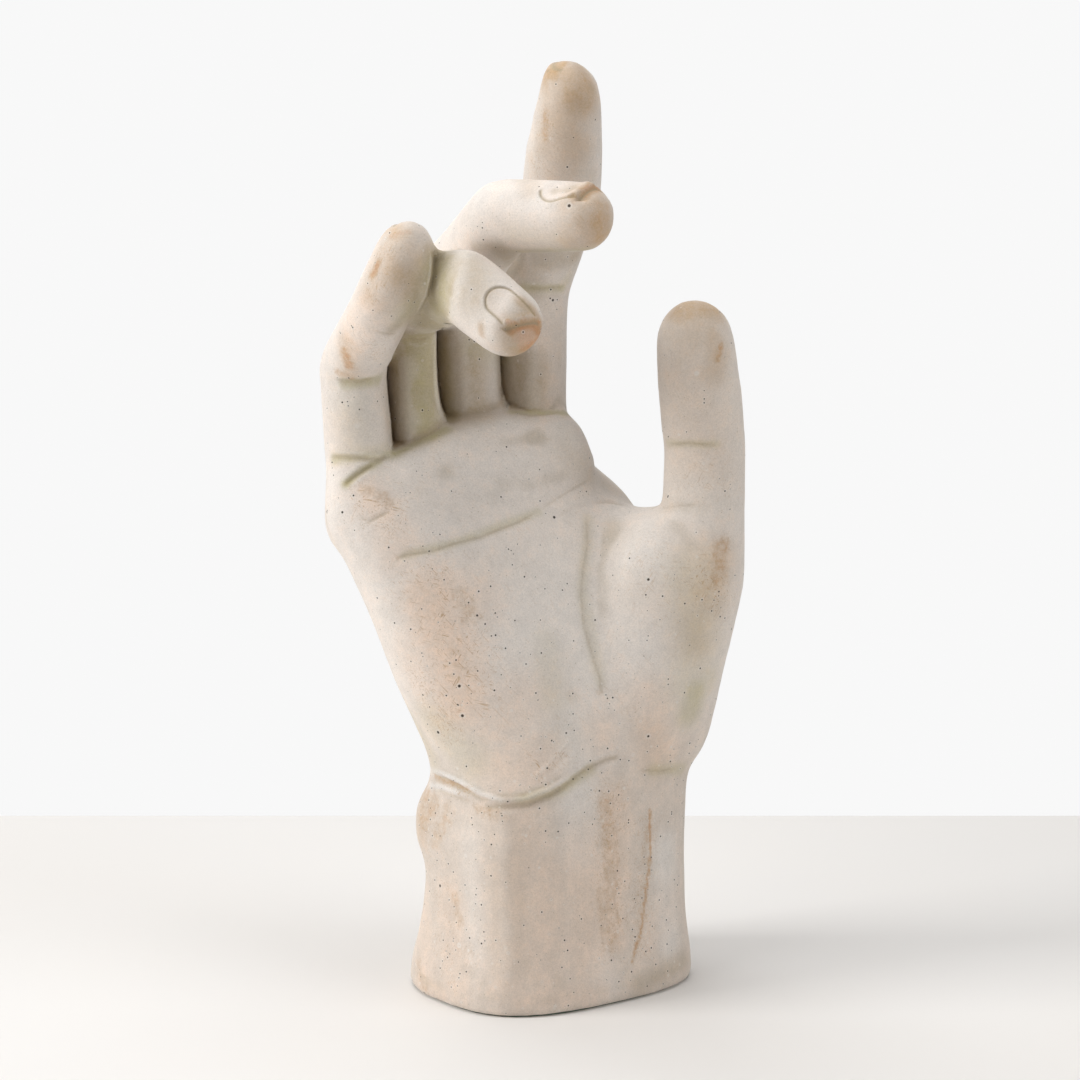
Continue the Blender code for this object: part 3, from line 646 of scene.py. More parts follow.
# tints painted on the skin: radius in mm, strength, and places on the picture
paintValues = {
    "ochre": (    # brown rubbed into the fingertips
        (12, 1.0, (560, 70), (574, 72), (580, 92)), (11, 0.4, (566, 105), (568, 130)),
        (4, 0.3, (548, 105), (542, 150)), (8, 0.4, (560, 120), (580, 150)),
        (5, 0.35, (530, 190), (526, 175)), (12, 0.9, (594, 200), (600, 232)),
        (9, 0.55, (576, 208), (578, 240)), (2.4, 1.0, (573, 197), (581, 188), (590, 184), (600, 186)),
        (8, 1.0, (534, 334), (514, 338), (524, 350)), (6, 0.4, (500, 345)),
        (3.4, 0.7, (522, 303), (537, 316)), (1.8, 0.7, (481, 326), (482, 334)),
        (12, 0.62, (398, 236), (404, 262), (400, 280)), (6, 0.5, (385, 250), (392, 232)),
        (10, 0.4, (386, 275), (390, 300)), (7, 0.45, (380, 258), (370, 292)),
        (6, 0.4, (345, 345), (350, 372)), (9, 1.0, (684, 307), (696, 303), (710, 307)),
        (14, 0.45, (696, 318)), (6, 0.45, (706, 322), (718, 352), (716, 372)),
        (10, 0.3, (722, 560), (712, 600)), (9, 0.12, (690, 590), (700, 640)),
        (8, 0.15, (650, 735), (655, 760)), (7, 0.35, (416, 800), (420, 830)),
        (4.5, 0.65, (443, 345), (443, 400)), (5, 0.65, (505, 345), (507, 388)),
        (4, 0.5, (392, 365), (393, 440)), (8, 0.25, (415, 350), (418, 425)),
        (9, 0.22, (465, 350), (468, 400)), (9, 0.3, (526, 365), (528, 398)),
    ),
    "warm": (     # soft flush of the stone
        (15, 0.9, (432, 600), (448, 650), (458, 700)), (10, 0.5, (400, 560), (392, 530)),
        (14, 0.5, (470, 600)), (10, 0.5, (410, 650), (440, 720)), (8, 0.6, (368, 495), (384, 512)),
        (14, 0.4, (520, 820), (515, 980)), (14, 0.5, (585, 850), (590, 960)),
        (12, 0.45, (550, 870), (545, 980)), (10, 0.4, (420, 850), (425, 980)),
        (10, 0.4, (450, 900), (455, 985)), (8, 0.6, (615, 800), (612, 940)),
        (12, 0.5, (500, 770), (540, 760)), (14, 0.45, (490, 720), (520, 700)),
        (12, 0.5, (650, 700), (660, 750)), (10, 0.4, (600, 730)), (14, 0.35, (690, 380), (700, 460)),
        (14, 0.4, (700, 560), (690, 640)), (14, 0.3, (660, 600)), (8, 0.3, (340, 420), (345, 450)),
        (9, 0.5, (350, 340), (365, 310)), (10, 0.3, (545, 320), (548, 400)),
        (10, 0.4, (560, 110), (560, 170)), (9, 0.25, (500, 215), (545, 235)),
        (7, 0.2, (560, 240), (520, 248)), (10, 0.3, (650, 940), (670, 900)),
        (6, 0.5, (600, 990), (520, 1000)), (6, 0.5, (440, 995), (420, 980)),
    ),
    "shadeAndGrime": (    # painted shade between and under the fingers and over the thumb, with some brown grey grime
        (7, 0.95, (397, 350), (396, 400), (398, 445)), (11, 0.95, (412, 345), (414, 420)),
        (7, 0.95, (444, 345), (446, 400), (452, 420)), (13, 0.85, (460, 350), (465, 400)),
        (8, 1.0, (507, 350), (510, 385), (515, 402)), (10, 1.0, (524, 368), (524, 395)),
        (7, 0.55, (522, 310), (522, 350)), (26, 0.22, (690, 330), (700, 470)),
        (16, 0.28, (560, 120), (552, 165)), (11, 0.6, (445, 262), (450, 285)),
        (11, 0.62, (466, 262), (473, 292)), (16, 0.15, (545, 300), (550, 395)),
        (7, 0.5, (408, 275), (416, 300), (418, 325)), (8, 0.7, (438, 258), (441, 278), (436, 300)),
        (3, 0.6, (392, 330), (404, 318)), (6, 0.7, (500, 250), (515, 262)),
        (6, 0.6, (540, 262), (575, 256)), (8, 0.45, (530, 275), (525, 300)),
        (3, 0.4, (476, 248), (500, 244)), (5, 0.3, (590, 175), (560, 172)),
        (8, 0.35, (640, 505), (605, 480)), (9, 0.3, (570, 440), (590, 468)),
        (11, 0.12, (620, 545), (622, 585)), (8, 0.16, (506, 835), (508, 965)),
        (10, 0.14, (556, 665), (562, 735)), (12, 0.12, (560, 440), (600, 470)),
        (5, 0.25, (660, 500), (700, 508)), (6, 0.25, (692, 625), (694, 645)),
        (3, 0.35, (500, 802), (548, 797), (590, 768)), (5, 0.4, (684, 960), (640, 985)),
    ),
    "rust": (     # dry brushed, red brown
        (2.2, 0.5, (546, 112), (545, 140)), (3.5, 0.5, (596, 205), (598, 222)),
        (6.0, 1.0, (541, 342), (536, 332), (524, 329), (530, 345)),
        (1.6, 1.0, (508, 322), (524, 324), (540, 322)), (2.6, 1.0, (583, 194), (590, 188), (600, 188)),
        (4.0, 0.85, (514, 329), (520, 338)), (2.0, 0.8, (379, 262), (372, 276)),
        (2.4, 0.6, (392, 236), (408, 232)), (3.0, 0.75, (344, 352), (350, 366)),
        (2.4, 0.5, (337, 372), (350, 378)), (4, 0.5, (698, 282), (706, 286)),
        (1.8, 0.7, (721, 345), (717, 360)), (5, 0.55, (722, 545), (718, 580)), (7, 0.25, (700, 592)),
        (6, 0.25, (448, 650), (462, 668)), (11, 0.2, (418, 595), (440, 640), (466, 690)),
        (6, 0.35, (462, 596), (470, 615)), (4, 0.45, (366, 490), (386, 500)),
        (6, 0.5, (424, 797), (434, 806), (424, 820)), (1.8, 0.6, (436, 777), (468, 789)),
        (6, 0.4, (448, 812), (436, 840)), (4, 0.4, (478, 810), (500, 815)),
        (4, 0.4, (606, 800), (612, 850)), (4.6, 0.4, (604, 800), (610, 860), (606, 905), (613, 945)),
        (1.2, 0.45, (618, 860), (614, 900), (620, 925)), (1.4, 0.4, (598, 890), (603, 950)),
        (1.1, 0.8, (650, 810), (650, 860), (645, 900), (640, 935), (632, 962)),
        (5, 0.3, (648, 830), (640, 920)), (5, 0.15, (656, 738), (657, 765)),
        (3, 0.4, (455, 895), (460, 925)), (5, 0.35, (418, 965), (424, 990)), (5, 0.25, (470, 950)),
        (6, 0.2, (600, 690), (640, 720)),
    ),
    "mossAndShade": (     # green yellow in the creases and low spots, and painted shade in the gaps between the fingers
        (7, 0.7, (696, 690), (690, 712)), (13, 0.3, (692, 575), (699, 640), (693, 680)),
        (9, 0.2, (352, 405), (358, 445)), (9, 0.35, (706, 680)), (9, 0.75, (424, 345), (426, 420)),
        (5, 0.6, (412, 340), (430, 330)), (7, 0.6, (408, 312), (424, 300)),
        (9, 0.75, (438, 272), (440, 300), (432, 326)), (2.6, 0.7, (335, 459), (391, 455)),
        (2.2, 1.0, (346, 484), (360, 472), (378, 461)), (3, 0.9, (395, 453), (446, 430)),
        (3.0, 0.8, (346, 384), (378, 380)), (5, 0.35, (445, 350), (450, 420)),
        (4, 0.5, (520, 252), (590, 250)), (2.2, 0.7, (517, 288), (562, 288)), (4, 0.3, (575, 283)),
        (2.0, 0.8, (512, 412), (566, 413)), (2.2, 0.45, (405, 555), (456, 543), (538, 512)),
        (3, 0.25, (588, 520), (582, 590), (600, 680)), (2.6, 0.5, (520, 800), (560, 790), (590, 770)),
        (6, 0.15, (545, 640), (552, 700)), (7, 0.3, (405, 725), (425, 760)),
        (3, 0.5, (652, 770), (682, 769)), (6, 0.15, (515, 235), (560, 242)),
        (6, 0.4, (475, 345), (500, 357)), (3, 0.3, (340, 455), (388, 448)),
        (9, 0.3, (430, 720), (470, 760)), (2, 0.4, (668, 443), (716, 444)),
    ),
    "chalkAndHighlight": (    # cool pale film, and painted highlight in places such as the thenar's crest
        (11, 0.8, (578, 795), (580, 845)), (13, 0.5, (560, 570), (575, 660)),
        (9, 0.6, (572, 720), (574, 760)), (13, 0.35, (530, 600), (520, 660)),
        (5, 0.3, (480, 320), (500, 300)), (9, 0.9, (665, 850), (668, 940)),
        (15, 0.35, (420, 630), (448, 720)), (7, 0.4, (470, 840), (475, 950)),
        (1.7, 1.0, (430, 770), (461, 781), (500, 800)), (1.6, 1.0, (430, 785), (456, 792)),
        # painted highlight on the thenar's crest
        (16, 0.6, (655, 580), (664, 640)), (9, 0.6, (395, 590), (402, 640)),
        (9, 0.5, (480, 200), (540, 212)), (6, 0.3, (470, 265), (500, 285)),
        (8, 0.6, (602, 965), (606, 985)), (12, 0.25, (480, 480), (520, 470)),
        (7, 0.3, (360, 400), (365, 440)),
    ),
    "scratch": (  # where the surface is scratched
        (13, 1.0, (430, 590), (455, 640), (470, 690)), (8, 0.9, (368, 498), (392, 514)),
        (9, 0.8, (420, 680), (445, 730)), (8, 0.6, (352, 335), (375, 350)),
        (5, 0.9, (436, 780), (470, 790)), (10, 0.6, (430, 830), (440, 900), (450, 970)),
        (6, 1.0, (540, 765), (560, 750)), (8, 1.0, (700, 575), (722, 600)),
        (10, 0.7, (610, 800), (615, 940)), (9, 0.7, (645, 830), (640, 940)),
        (6, 0.8, (545, 120), (540, 165)), (6, 0.9, (392, 240), (372, 290)),
        (8, 0.5, (590, 200), (600, 230)), (9, 0.3, (690, 480), (720, 480)),
        (10, 0.3, (640, 560), (670, 600)),
    ),
}
paintReach, paintFade = 2.2, 2.6    # radii, and how suddenly a spot ends
hollowValues = {
    "passes": 8, "depth": 0.2 * mm,     # smoothing that finds the low spots, and what counts as one
    "crease": 0.4, "ridge": 0.3,        # shares of that depth that are left as they are
}


def paintSkin(skin):
    places, _ = pointTable(skin)
    tree = skinTree(skin)
    for name, spots in paintValues.items():
        amount = np.zeros(len(places))
        for radius, strength, *spot in spots:
            index, distance, _ = nearLine(places, drawnLine(tree, spot), radius * paintReach * mm)
            here = strength * np.exp(-(distance / (radius * mm)) ** paintFade)
            amount[index] = np.maximum(amount[index], here)
        storeShare(skin, name, amount)


def hollowness(piece):
    # How far each point lies below its neighbours, more than the form around it does, in depths
    places, normals = pointTable(piece)
    edges = np.empty(len(piece.data.edges) * 2, np.int64)
    piece.data.edges.foreach_get("vertices", edges)
    one, two = edges.reshape(-1, 2).T
    count = np.bincount(np.r_[one, two], minlength=len(places))

    def level(values, times):
        for _ in range(times):
            values = np.bincount(np.r_[one, two], np.r_[values[two], values[one]], len(places)) / count
        return values

    passes = hollowValues["passes"]
    smooth = np.stack([level(places[:, k], passes) for k in range(3)], 1)
    below = ((smooth - places) * normals).sum(1) / hollowValues["depth"]
    return below - level(below, passes * 8)     # less the round form itself


paintSkin(castHand)
# the hollows are darkened and the ridges made paler later: painted shade and highlight, with dirt and wear
cavity = hollowness(castHand)
storeShare(castHand, "crease", np.clip(cavity - hollowValues["crease"], 0, 1))
storeShare(castHand, "ridge", np.clip(-cavity - hollowValues["ridge"], 0, 1))
print("painted")


def keepInBox(skin):
    places, _ = pointTable(skin)
    movePoints(skin, np.clip(places, np.array(cadBox[0]), np.array(cadBox[1])))


def restoreHollow(skin, hollow):
    addAndApply(skin, "hollow", "BOOLEAN", operation="DIFFERENCE", solver="EXACT", object=hollow)
    bpy.data.objects.remove(hollow, do_unlink=True)


keepInBox(castHand)
restoreHollow(castHand, hollowShape)
takeHold(castHand)
bpy.ops.object.shade_smooth_by_angle(angle=math.radians(castValues["smoothAngle"]))
print("hollow restored", len(castHand.data.polygons), "faces")


# materials
class Wires:
    # A node tree with short calls to add and join nodes
    def __init__(self, tree):
        self.tree = tree

    def add(self, kind, **settings):
        node = self.tree.nodes.new("ShaderNode" + kind)
        for key, value in settings.items():
            setattr(node, key, value)
        return node

    def feed(self, socket, value):
        if isinstance(value, bpy.types.NodeSocket):
            self.tree.links.new(value, socket)
        else:
            socket.default_value = value

    def give(self, node, **values):
        # Sockets by name, with a line where the name has a space
        for name, value in values.items():
            self.feed(node.inputs[name.replace("_", " ")], value)
        return node

    def math(self, operation, one, two, clamp=False):
        node = self.add("Math", operation=operation, use_clamp=clamp)
        self.feed(node.inputs[0], one)
        self.feed(node.inputs[1], two)
        return node.outputs[0]

    def times(self, one, two, clamp=False):
        return self.math("MULTIPLY", one, two, clamp)

    def plus(self, one, two):
        return self.math("ADD", one, two)

    def less(self, one, two):
        return self.math("SUBTRACT", one, two)

    def larger(self, one, two):
        return self.math("MAXIMUM", one, two)

    def mix(self, share, one, two, blend="MIX"):
        node = self.add("Mix", data_type="RGBA", blend_type=blend)
        return self.give(node, Factor=share, A=one, B=two).outputs["Result"]

    def ramp(self, value, low, high, start=0.0, end=1.0):
        node = self.add("MapRange", interpolation_type="SMOOTHSTEP")
        return self.give(node, Value=value, From_Min=low, From_Max=high, To_Min=start,
                         To_Max=end).outputs["Result"]

    def noise(self, place, scale, detail=3.0, roughness=0.55):
        node = self.add("TexNoise")
        return self.give(node, Vector=place, Scale=scale, Detail=detail, Roughness=roughness).outputs["Fac"]

    def stretch(self, place, scale, turn=(0, 0, 0)):
        # Turned first, so the marks run along the turned axis
        turned = self.give(self.add("VectorRotate", rotation_type="EULER_XYZ"), Vector=place, Rotation=turn)
        return self.give(self.add("Mapping"), Vector=turned.outputs[0], Scale=scale).outputs[0]

    def share(self, name):
        return self.add("Attribute", attribute_name=name).outputs["Fac"]

    def group(self, tree, **values):
        return self.give(self.add("Group", node_tree=tree), **values).outputs

    def bump(self, height, strength, distance):
        return self.give(self.add("Bump"), Height=height, Strength=strength, Distance=distance).outputs[0]


def newGroup(name, inputs, outputs):
    tree = bpy.data.node_groups.new(name, "ShaderNodeTree")
    tree.interface.new_socket("Vector", in_out="INPUT", socket_type="NodeSocketVector")
    for label, value in inputs.items():
        socket = tree.interface.new_socket(label, in_out="INPUT", socket_type="NodeSocketFloat")
        socket.default_value = value
    for label in outputs:
        tree.interface.new_socket(label, in_out="OUTPUT", socket_type="NodeSocketFloat")
    return (tree, Wires(tree), tree.nodes.new("NodeGroupInput").outputs,
            tree.nodes.new("NodeGroupOutput"))


def pinholeGroup():
    # Small holes left by air bubbles, each with its own size, and a pale ring round it
    tree, wires, given, out = newGroup("pinholes", {"Scale": 300.0, "Radius": 0.1, "Share": 0.6},
                                       ("Hole", "Ring"))
    cells = wires.give(wires.add("TexVoronoi"), Vector=given["Vector"], Scale=given["Scale"])
    parts = wires.add("SeparateColor")
    wires.feed(parts.inputs[0], cells.outputs["Color"])
    kept = wires.math("LESS_THAN", parts.outputs[0], given["Share"])
    size = wires.times(given["Radius"], wires.ramp(parts.outputs[1], 0.25, 1.0, 0.42, 1.55))
    near = wires.math("DIVIDE", cells.outputs["Distance"], size)
    halo = wires.times(wires.ramp(near, 0.9, 1.2), wires.ramp(near, 1.4, 2.3, 1.0, 0.0))
    wires.give(out, Hole=wires.times(wires.ramp(near, 0.7, 1.0, 1.0, 0.0), kept),
               Ring=wires.times(halo, wires.times(kept, parts.outputs[2])))
    return tree


def grainGroup():
    # Fine grain, mottling at two sizes, and long marks of a wash that ran along Z
    tree, wires, given, out = newGroup("castGrain", {"Grain": 1500.0, "Wash": 150.0},
                                       ("Grain", "Wash", "Cloud", "Mottle"))
    place = given["Vector"]
    long = wires.stretch(place, (1.0, 1.0, 0.10), (0.05, -0.06, 0.0))
    wires.give(out, Grain=wires.noise(place, given["Grain"], 4.0, 0.7),
               Wash=wires.noise(long, given["Wash"], 5.0, 0.65),
               Cloud=wires.noise(place, 24.0, 3.0, 0.6), Mottle=wires.noise(place, 130.0, 6.0, 0.68))
    return tree


def scratchGroup():
    # Thin short scratches in three crossing directions
    tree, wires, given, out = newGroup("scratches", {"Density": 0.6}, ("Scratch",))
    total = 0.0
    for turn, seed in (((0.0, 0.75, 0.2), 0.0), ((0.0, -0.45, -0.1), 3.7), ((0.0, 1.35, 0.0), 7.1)):
        shifted = wires.add("VectorMath", operation="ADD")
        wires.feed(shifted.inputs[0], wires.stretch(given["Vector"], (2300.0, 2300.0, 95.0), turn))
        wires.feed(shifted.inputs[1], (seed, seed * 2, seed * 3))
        mark = wires.noise(shifted.outputs[0], 1.0, 1.0, 0.4)
        broken = wires.noise(given["Vector"], 170.0 + seed * 9, 2.0, 0.5)
        lines = wires.times(wires.ramp(mark, 0.62, 0.70), wires.ramp(broken, 0.46, 0.56))
        total = wires.larger(lines, total)
    wires.give(out, Scratch=wires.times(total, given["Density"]))
    return tree


pinholes, castGrain, scratches = pinholeGroup(), grainGroup(), scratchGroup()


def newMaterial(name):
    material = bpy.data.materials.new(name)
    material.use_nodes = True
    wires = Wires(material.node_tree)
    place = wires.add("TexCoord").outputs["Object"]
    return material, wires, place, material.node_tree.nodes["Principled BSDF"]


stoneValues = {
    "pale": (0.765, 0.698, 0.638, 1), "grey": (0.73, 0.67, 0.615, 1), "lowerTone": (0.60, 0.51, 0.43, 1),
    "warm": (0.775, 0.595, 0.467, 1), "ochre": (0.50, 0.335, 0.19, 1), "rust": (0.52, 0.25, 0.115, 1),
    "mossAndShade": (0.46, 0.415, 0.235, 1), "shadeAndGrime": (0.34, 0.265, 0.165, 1), "chalkAndHighlight": (0.745, 0.71, 0.67, 1),
    "crease": (0.37, 0.295, 0.19, 1), "hole": (0.032, 0.024, 0.018, 1), "nail": (0.73, 0.64, 0.575, 1),
    # how strongly each one covers
    "tints": {"warm": 0.85, "ochre": 0.95, "shadeAndGrime": 0.85, "mossAndShade": 0.85},
    "dirtAndShade": {"lineDirtAndShade": 0.34, "crease": 0.40, "nailDirtAndShade": 0.95},
    # film: the pale film with its painted highlight in places; ridge film: pale film and painted highlight on
    # the ridges
    "film": 0.75, "ridgeFilmAndHighlight": 0.25, "ringFilm": 0.55, "nailTone": 0.5,
    "scratchTone": 0.8, "dustTone": 0.5, "holeShade": 0.95, "wash": 0.18,
    # heights in metres between which the darker tone towards the base, the wash and the many holes end
    "lowerToneEnds": (0.085, 0.14), "washEnds": (0.10, 0.15), "holesEnd": (0.12, 0.25),
    # size and radius in shares of a cell: the larger the size, the smaller the holes
    "bigHoles": {"Scale": 150.0, "Radius": 0.074}, "smallHoles": {"Scale": 430.0, "Radius": 0.125},
    "dust": {"Scale": 760.0, "Radius": 0.15, "Share": 0.32}, "bigShare": 0.75,
    "roughness": (0.56, 0.68), "specular": 0.35, "bump": 0.55, "bumpHeight": 0.35 * mm,
    "relief": {"Grain": 0.22, "Wash": 0.10, "Mottle": 0.4}, "scratchCut": 0.35, "holeCut": 1.7,
}


def castStone():
    material, wires, place, shader = newMaterial("castStone")
    times, share, ramp, stone = wires.times, wires.share, wires.ramp, stoneValues

    def coat(amount, tone):
        # Lays one of the stone's colours over what is there
        return wires.mix(amount, colour, stone[tone])

    height = wires.add("SeparateXYZ")
    wires.feed(height.inputs[0], place)
    height = height.outputs["Z"]
    grain = wires.group(castGrain, Vector=place)
    # holes keep together, and grow fewer towards the fingers
    crowd = times(ramp(height, *stone["holesEnd"], 1.0, 0.4),
                  ramp(wires.noise(place, 42.0, 2.0), 0.40, 0.62, 0.25, 1.0))
    small = wires.group(pinholes, Vector=place, Share=crowd, **stone["smallHoles"])
    big = wires.group(pinholes, Vector=place, Share=times(crowd, stone["bigShare"]), **stone["bigHoles"])
    dust = wires.group(pinholes, Vector=place, **stone["dust"])["Hole"]
    scratch = wires.group(scratches, Vector=place, Density=wires.plus(times(share("scratch"), 0.8), 0.2))
    scratch, hole = scratch["Scratch"], wires.larger(small["Hole"], big["Hole"])
    # the stone itself
    colour = wires.mix(ramp(grain["Cloud"], 0.36, 0.66), stone["grey"], stone["pale"])
    # darker towards the base
    colour = coat(ramp(height, *stone["lowerToneEnds"], 0.65, 0.0), "lowerTone")
    colour = coat(ramp(grain["Mottle"], 0.48, 0.72, 0.0, 0.24), "warm")
    # pale film, with painted highlight in places
    colour = coat(times(share("chalkAndHighlight"), stone["film"]), "chalkAndHighlight")
    colour = coat(times(share("nailPlate"), stone["nailTone"]), "nail")
    # soft tints, a little uneven; the grime and moss tints also hold painted shade
    uneven = ramp(grain["Mottle"], 0.3, 0.7, 0.78, 1.12)
    fine = ramp(wires.noise(place, 420.0, 5.0, 0.7), 0.3, 0.7, 0.88, 1.1)
    for name, amount in stone["tints"].items():
        colour = coat(times(times(share(name), uneven), times(fine, amount), True), name)
    # dry rubbed rust breaks up in the grain
    broken = times(wires.less(wires.noise(place, 330.0, 6.0, 0.75), 0.5), 1.5)
    held = times(wires.plus(share("rust"), broken), ramp(share("rust"), 0.02, 0.22))
    colour = coat(ramp(held, 0.10, 0.75, 0.0, 0.6), "ochre")
    colour = coat(ramp(held, 0.40, 1.15, 0.0, 0.75), "rust")
    # darker in creases, hollows, the gaps between the fingers and under the nails: dirt with painted shade;
    # brown in the scratches; pale film with painted highlight on the ridges
    dirtAndShade = 0.0
    for name, amount in stone["dirtAndShade"].items():
        dirtAndShade = wires.larger(times(share(name), amount), dirtAndShade)
    colour = coat(times(dirtAndShade, fine, True), "crease")
    # pale film and painted highlight on the ridges
    colour = coat(times(share("ridge"), stone["ridgeFilmAndHighlight"]), "chalkAndHighlight")
    colour = coat(times(scratch, stone["scratchTone"]), "ochre")
    # light and dark of the wash and the grain
    washed = times(ramp(height, *stone["washEnds"], 1.0, 0.35), stone["wash"])
    wash = wires.plus(1.0, times(wires.less(grain["Wash"], 0.5), washed))
    tone = times(ramp(grain["Grain"], 0.28, 0.72, 0.90, 1.075), ramp(grain["Mottle"], 0.3, 0.7, 0.94, 1.05))
    colour = wires.mix(1.0, colour, times(wash, tone), "MULTIPLY")
    colour = coat(times(dust, stone["dustTone"]), "crease")
    colour = coat(times(wires.larger(small["Ring"], big["Ring"]), stone["ringFilm"]), "chalkAndHighlight")
    # painted shade: the pinholes are coloured near black
    colour = coat(times(hole, stone["holeShade"]), "hole")
    worn = times(wires.plus(share("ridge"), share("nailPlate")), 0.1)
    relief = times(hole, -stone["holeCut"])
    for name, amount in stone["relief"].items():
        relief = wires.plus(relief, times(grain[name], amount))
    relief = wires.less(relief, times(scratch, stone["scratchCut"]))
    rough = wires.less(ramp(grain["Cloud"], 0.3, 0.7, *stone["roughness"]), worn)
    wires.give(shader, Base_Color=colour, Roughness=rough, Specular_IOR_Level=stone["specular"],
               Normal=wires.bump(relief, stone["bump"], stone["bumpHeight"]))
    return material


castHand.data.materials.clear()
castHand.data.materials.append(castStone())
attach(castHand, "root")
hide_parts("hand_casting")


# felt under the base, glued on, seen only as a thin dark line
feltValues = {
    "colour": (0.05, 0.105, 0.07, 1), "worn": (0.10, 0.135, 0.10, 1),
    "step": 3.0 * mm,           # size of the sheet's faces
    "fuzz": 0.10 * mm,          # how unevenly its rim is cut
    "fuzzWaves": (2900, 3700),  # per metre, along x and y
    "edge": 0.12 * mm, "sheen": 0.4, "bump": 0.7, "bumpHeight": 0.15 * mm,
}


def makeFelt():
    piece = copyOfNode("felt_pad", "feltSheet")
    openMesh(piece)
    bpy.ops.mesh.dissolve_limited(angle_limit=math.radians(1))
    low, high = tuple(piece.bound_box[0]), tuple(piece.bound_box[6])
    for axis in (0, 1):
        count = int((high[axis] - low[axis]) / feltValues["step"])
        for k in range(1, count):
            place, normal = [0.0, 0.0, 0.0], [0, 0, 0]
            place[axis], normal[axis] = low[axis] + (high[axis] - low[axis]) * k / count, 1
            bpy.ops.mesh.select_all(action="SELECT")
            bpy.ops.mesh.bisect(plane_co=place, plane_no=normal)
    closeMesh()
    places, normals = pointTable(piece)
    rim = np.hypot(normals[:, 0], normals[:, 1]) > 0.3
    alongX, alongY = feltValues["fuzzWaves"]
    wave = np.sin(places[:, 0] * alongX) * np.sin(places[:, 1] * alongY + 1.3)
    places[rim] -= normals[rim] * [1, 1, 0] * (feltValues["fuzz"] * (1 + wave[rim]))[:, None]
    movePoints(piece, places)
    addAndApply(piece, "edge", "BEVEL", width=feltValues["edge"], segments=2, limit_method="ANGLE")
    piece.data.materials.append(woolFelt())
    return piece


def woolFelt():
    material, wires, place, shader = newMaterial("baseFelt")
    fibre = wires.noise(wires.stretch(place, (1.0, 1.0, 0.4)), 2600.0, 4.0, 0.7)
    worn = wires.ramp(wires.times(fibre, wires.noise(place, 160.0, 3.0, 0.6)), 0.15, 0.4)
    wires.give(shader, Base_Color=wires.mix(worn, feltValues["colour"], feltValues["worn"]),
               Roughness=wires.ramp(fibre, 0.2, 0.8, 0.9, 1.0), Sheen_Weight=feltValues["sheen"],
               Normal=wires.bump(fibre, feltValues["bump"], feltValues["bumpHeight"]))
    return material


feltSheet = makeFelt()
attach(feltSheet, "root")
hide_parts("felt_pad")
print("felt laid", len(feltSheet.data.polygons), "faces")


# the rods and the plug keep their shapes and get their finishes
plainValues = {
    "steel": (0.56, 0.56, 0.57, 1), "stain": (0.30, 0.20, 0.13, 1), "drawn": 2700.0,
    "plaster": (0.78, 0.755, 0.715, 1), "plasterDark": (0.66, 0.62, 0.56, 1), "plasterGrain": 1900.0,
    "plasterHoles": {"Scale": 240.0, "Radius": 0.1, "Share": 0.5},
    "steelBump": (0.25, 0.05 * mm), "plasterBump": (0.5, 0.3 * mm),     # strength and height
}


def drawnSteel():
    # Drawn wire: fine lines along it, and a little rust stain
    material, wires, place, shader = newMaterial("drawnSteel")
    lines = wires.noise(wires.stretch(place, (1.0, 1.0, 0.03)), plainValues["drawn"], 4.0, 0.7)
    stain = wires.ramp(wires.noise(place, 90.0, 5.0, 0.7), 0.56, 0.72)
    tone = wires.mix(wires.times(stain, 0.7), plainValues["steel"], plainValues["stain"])
    wires.give(shader, Base_Color=tone, Metallic=wires.ramp(stain, 0.0, 1.0, 1.0, 0.3),
               Roughness=wires.plus(wires.ramp(lines, 0.3, 0.7, 0.28, 0.45), wires.times(stain, 0.35)),
               Normal=wires.bump(lines, *plainValues["steelBump"]))
    return material


def plugPlaster():
    material, wires, place, shader = newMaterial("plugPlaster")
    grain = wires.group(castGrain, Vector=place, Grain=plainValues["plasterGrain"])
    hole = wires.group(pinholes, Vector=place, **plainValues["plasterHoles"])["Hole"]
    mottle = wires.ramp(grain["Mottle"], 0.35, 0.7)
    tone = wires.mix(mottle, plainValues["plaster"], plainValues["plasterDark"])
    # the pinholes are darkened with the stain colour: painted shade in the holes
    wires.give(shader, Base_Color=wires.mix(wires.times(hole, 0.7), tone, plainValues["stain"]),
               Roughness=wires.ramp(grain["Cloud"], 0.3, 0.7, 0.82, 0.93),
               Normal=wires.bump(wires.less(grain["Grain"], hole), *plainValues["plasterBump"]))
    return material


def finishNode(node, material):
    # A node that stays as it is takes a new finish in its own slots
    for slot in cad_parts[node].material_slots:
        slot.material = material


steelFinish = drawnSteel()
for node in ("thumb_rod", "index_rod", "middle_rod", "ring_rod", "little_rod"):
    finishNode(node, steelFinish)
finishNode("base_plug", plugPlaster())
print("triangles", {piece.name: sum(len(face.vertices) - 2 for face in piece.data.polygons)
                    for piece in (castHand, feltSheet)})


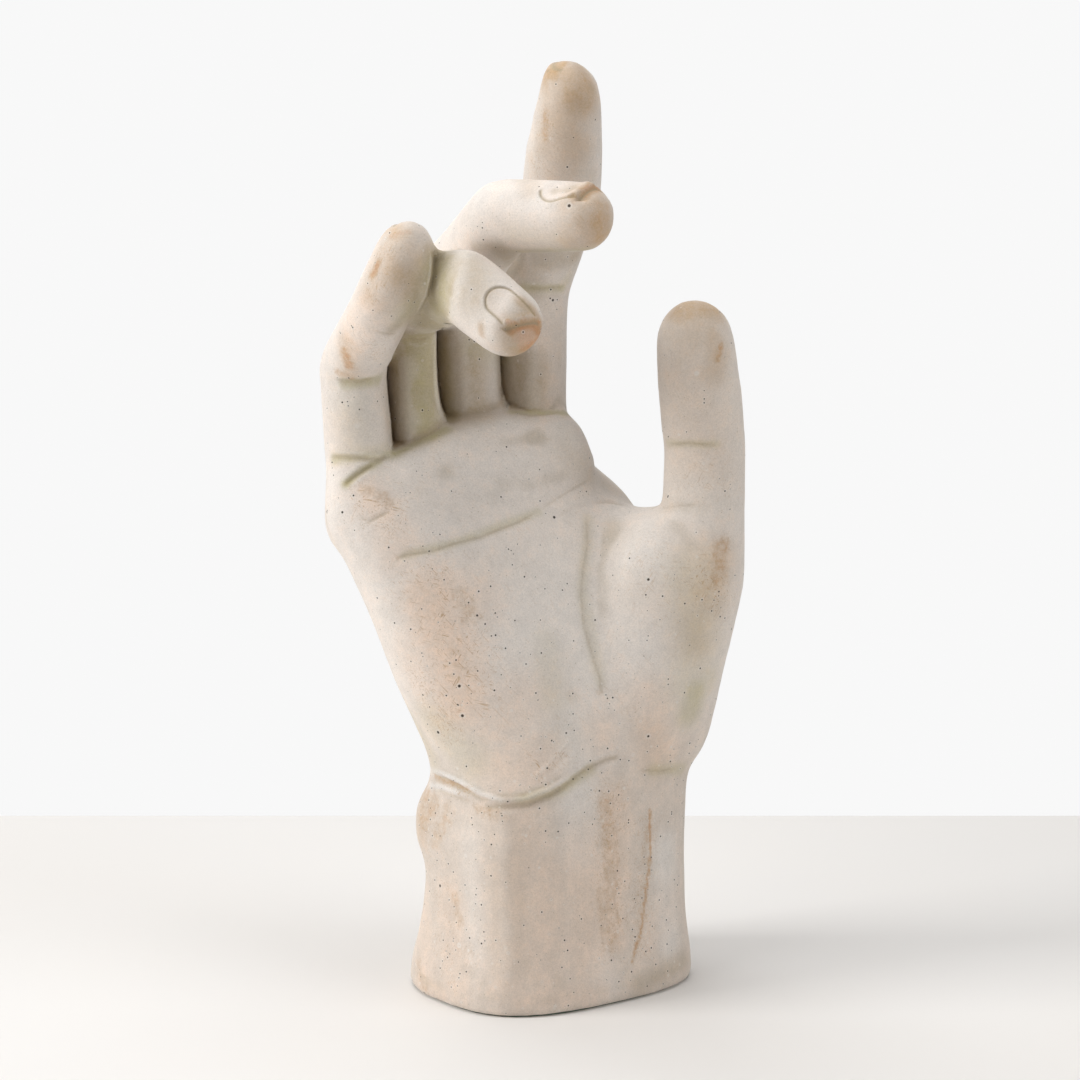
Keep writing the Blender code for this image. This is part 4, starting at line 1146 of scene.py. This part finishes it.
# table, background and light
roomValues = {
    "backEdge": 0.262, "tableSize": (5.0, 3.0, 0.04), "tableRound": 0.004,
    "table": (0.81, 0.79, 0.768, 1), "tableWarm": (0.815, 0.79, 0.76, 1), "roughness": 0.8,
    "wall": (0.94, 0.94, 0.94, 1), "soft": (0.04, 0.04, 0.04, 1), "lampAim": (0, 0, 0.2),
}
lampValues = {      # place and size in metres, and power in watts
    "leftKey": ((-2.1, -0.5, 1.1), 1.0, 37.0),
    "leftFront": ((-1.7, -1.4, 1.3), 1.2, 10.0),
    "overhead": ((0.0, 0.0, 2.3), 1.6, 25.0),
    "overheadBack": ((-0.6, 1.3, 2.0), 1.6, 13.0),
    "rightFill": ((1.8, -0.9, 1.0), 1.6, 17.5),
}


def makeTable():
    _, deep, thick = roomValues["tableSize"]
    bpy.ops.object.select_all(action="DESELECT")
    bpy.ops.mesh.primitive_cube_add(size=1, location=(0, roomValues["backEdge"] - deep / 2, -thick / 2))
    table = bpy.context.object
    table.name = "table"
    bpy.ops.transform.resize(value=roomValues["tableSize"])
    bpy.ops.object.transform_apply(location=True, rotation=True, scale=True)
    addAndApply(table, "edge", "BEVEL", width=roomValues["tableRound"], segments=3)
    material, wires, place, shader = newMaterial("tableTop")
    cloud = wires.ramp(wires.noise(place, 3.0), 0.3, 0.7)
    wires.give(shader, Base_Color=wires.mix(cloud, roomValues["table"], roomValues["tableWarm"]),
               Roughness=roomValues["roughness"])
    table.data.materials.append(material)


def makeLamp(name, place, size, power):
    data = bpy.data.lights.new(name, "AREA")
    data.energy, data.size = power, size
    aimed(name, data, place, roomValues["lampAim"])


def makeWorld():
    # The wall's tone for the camera and for what mirrors it, and a soft light for the rest
    world = bpy.data.worlds.new("studio")
    bpy.context.scene.world = world
    world.use_nodes = True
    wires = Wires(world.node_tree)
    rays = wires.add("LightPath").outputs
    seen = 0.0
    for name in ("Is Camera Ray", "Is Glossy Ray", "Is Transmission Ray"):
        seen = wires.larger(rays[name], seen)
    wires.give(world.node_tree.nodes["Background"],
               Color=wires.mix(seen, roomValues["soft"], roomValues["wall"]))


makeTable()
for name, values in lampValues.items():
    makeLamp(name, *values)
makeWorld()
bpy.context.scene.view_settings.view_transform = "Standard"
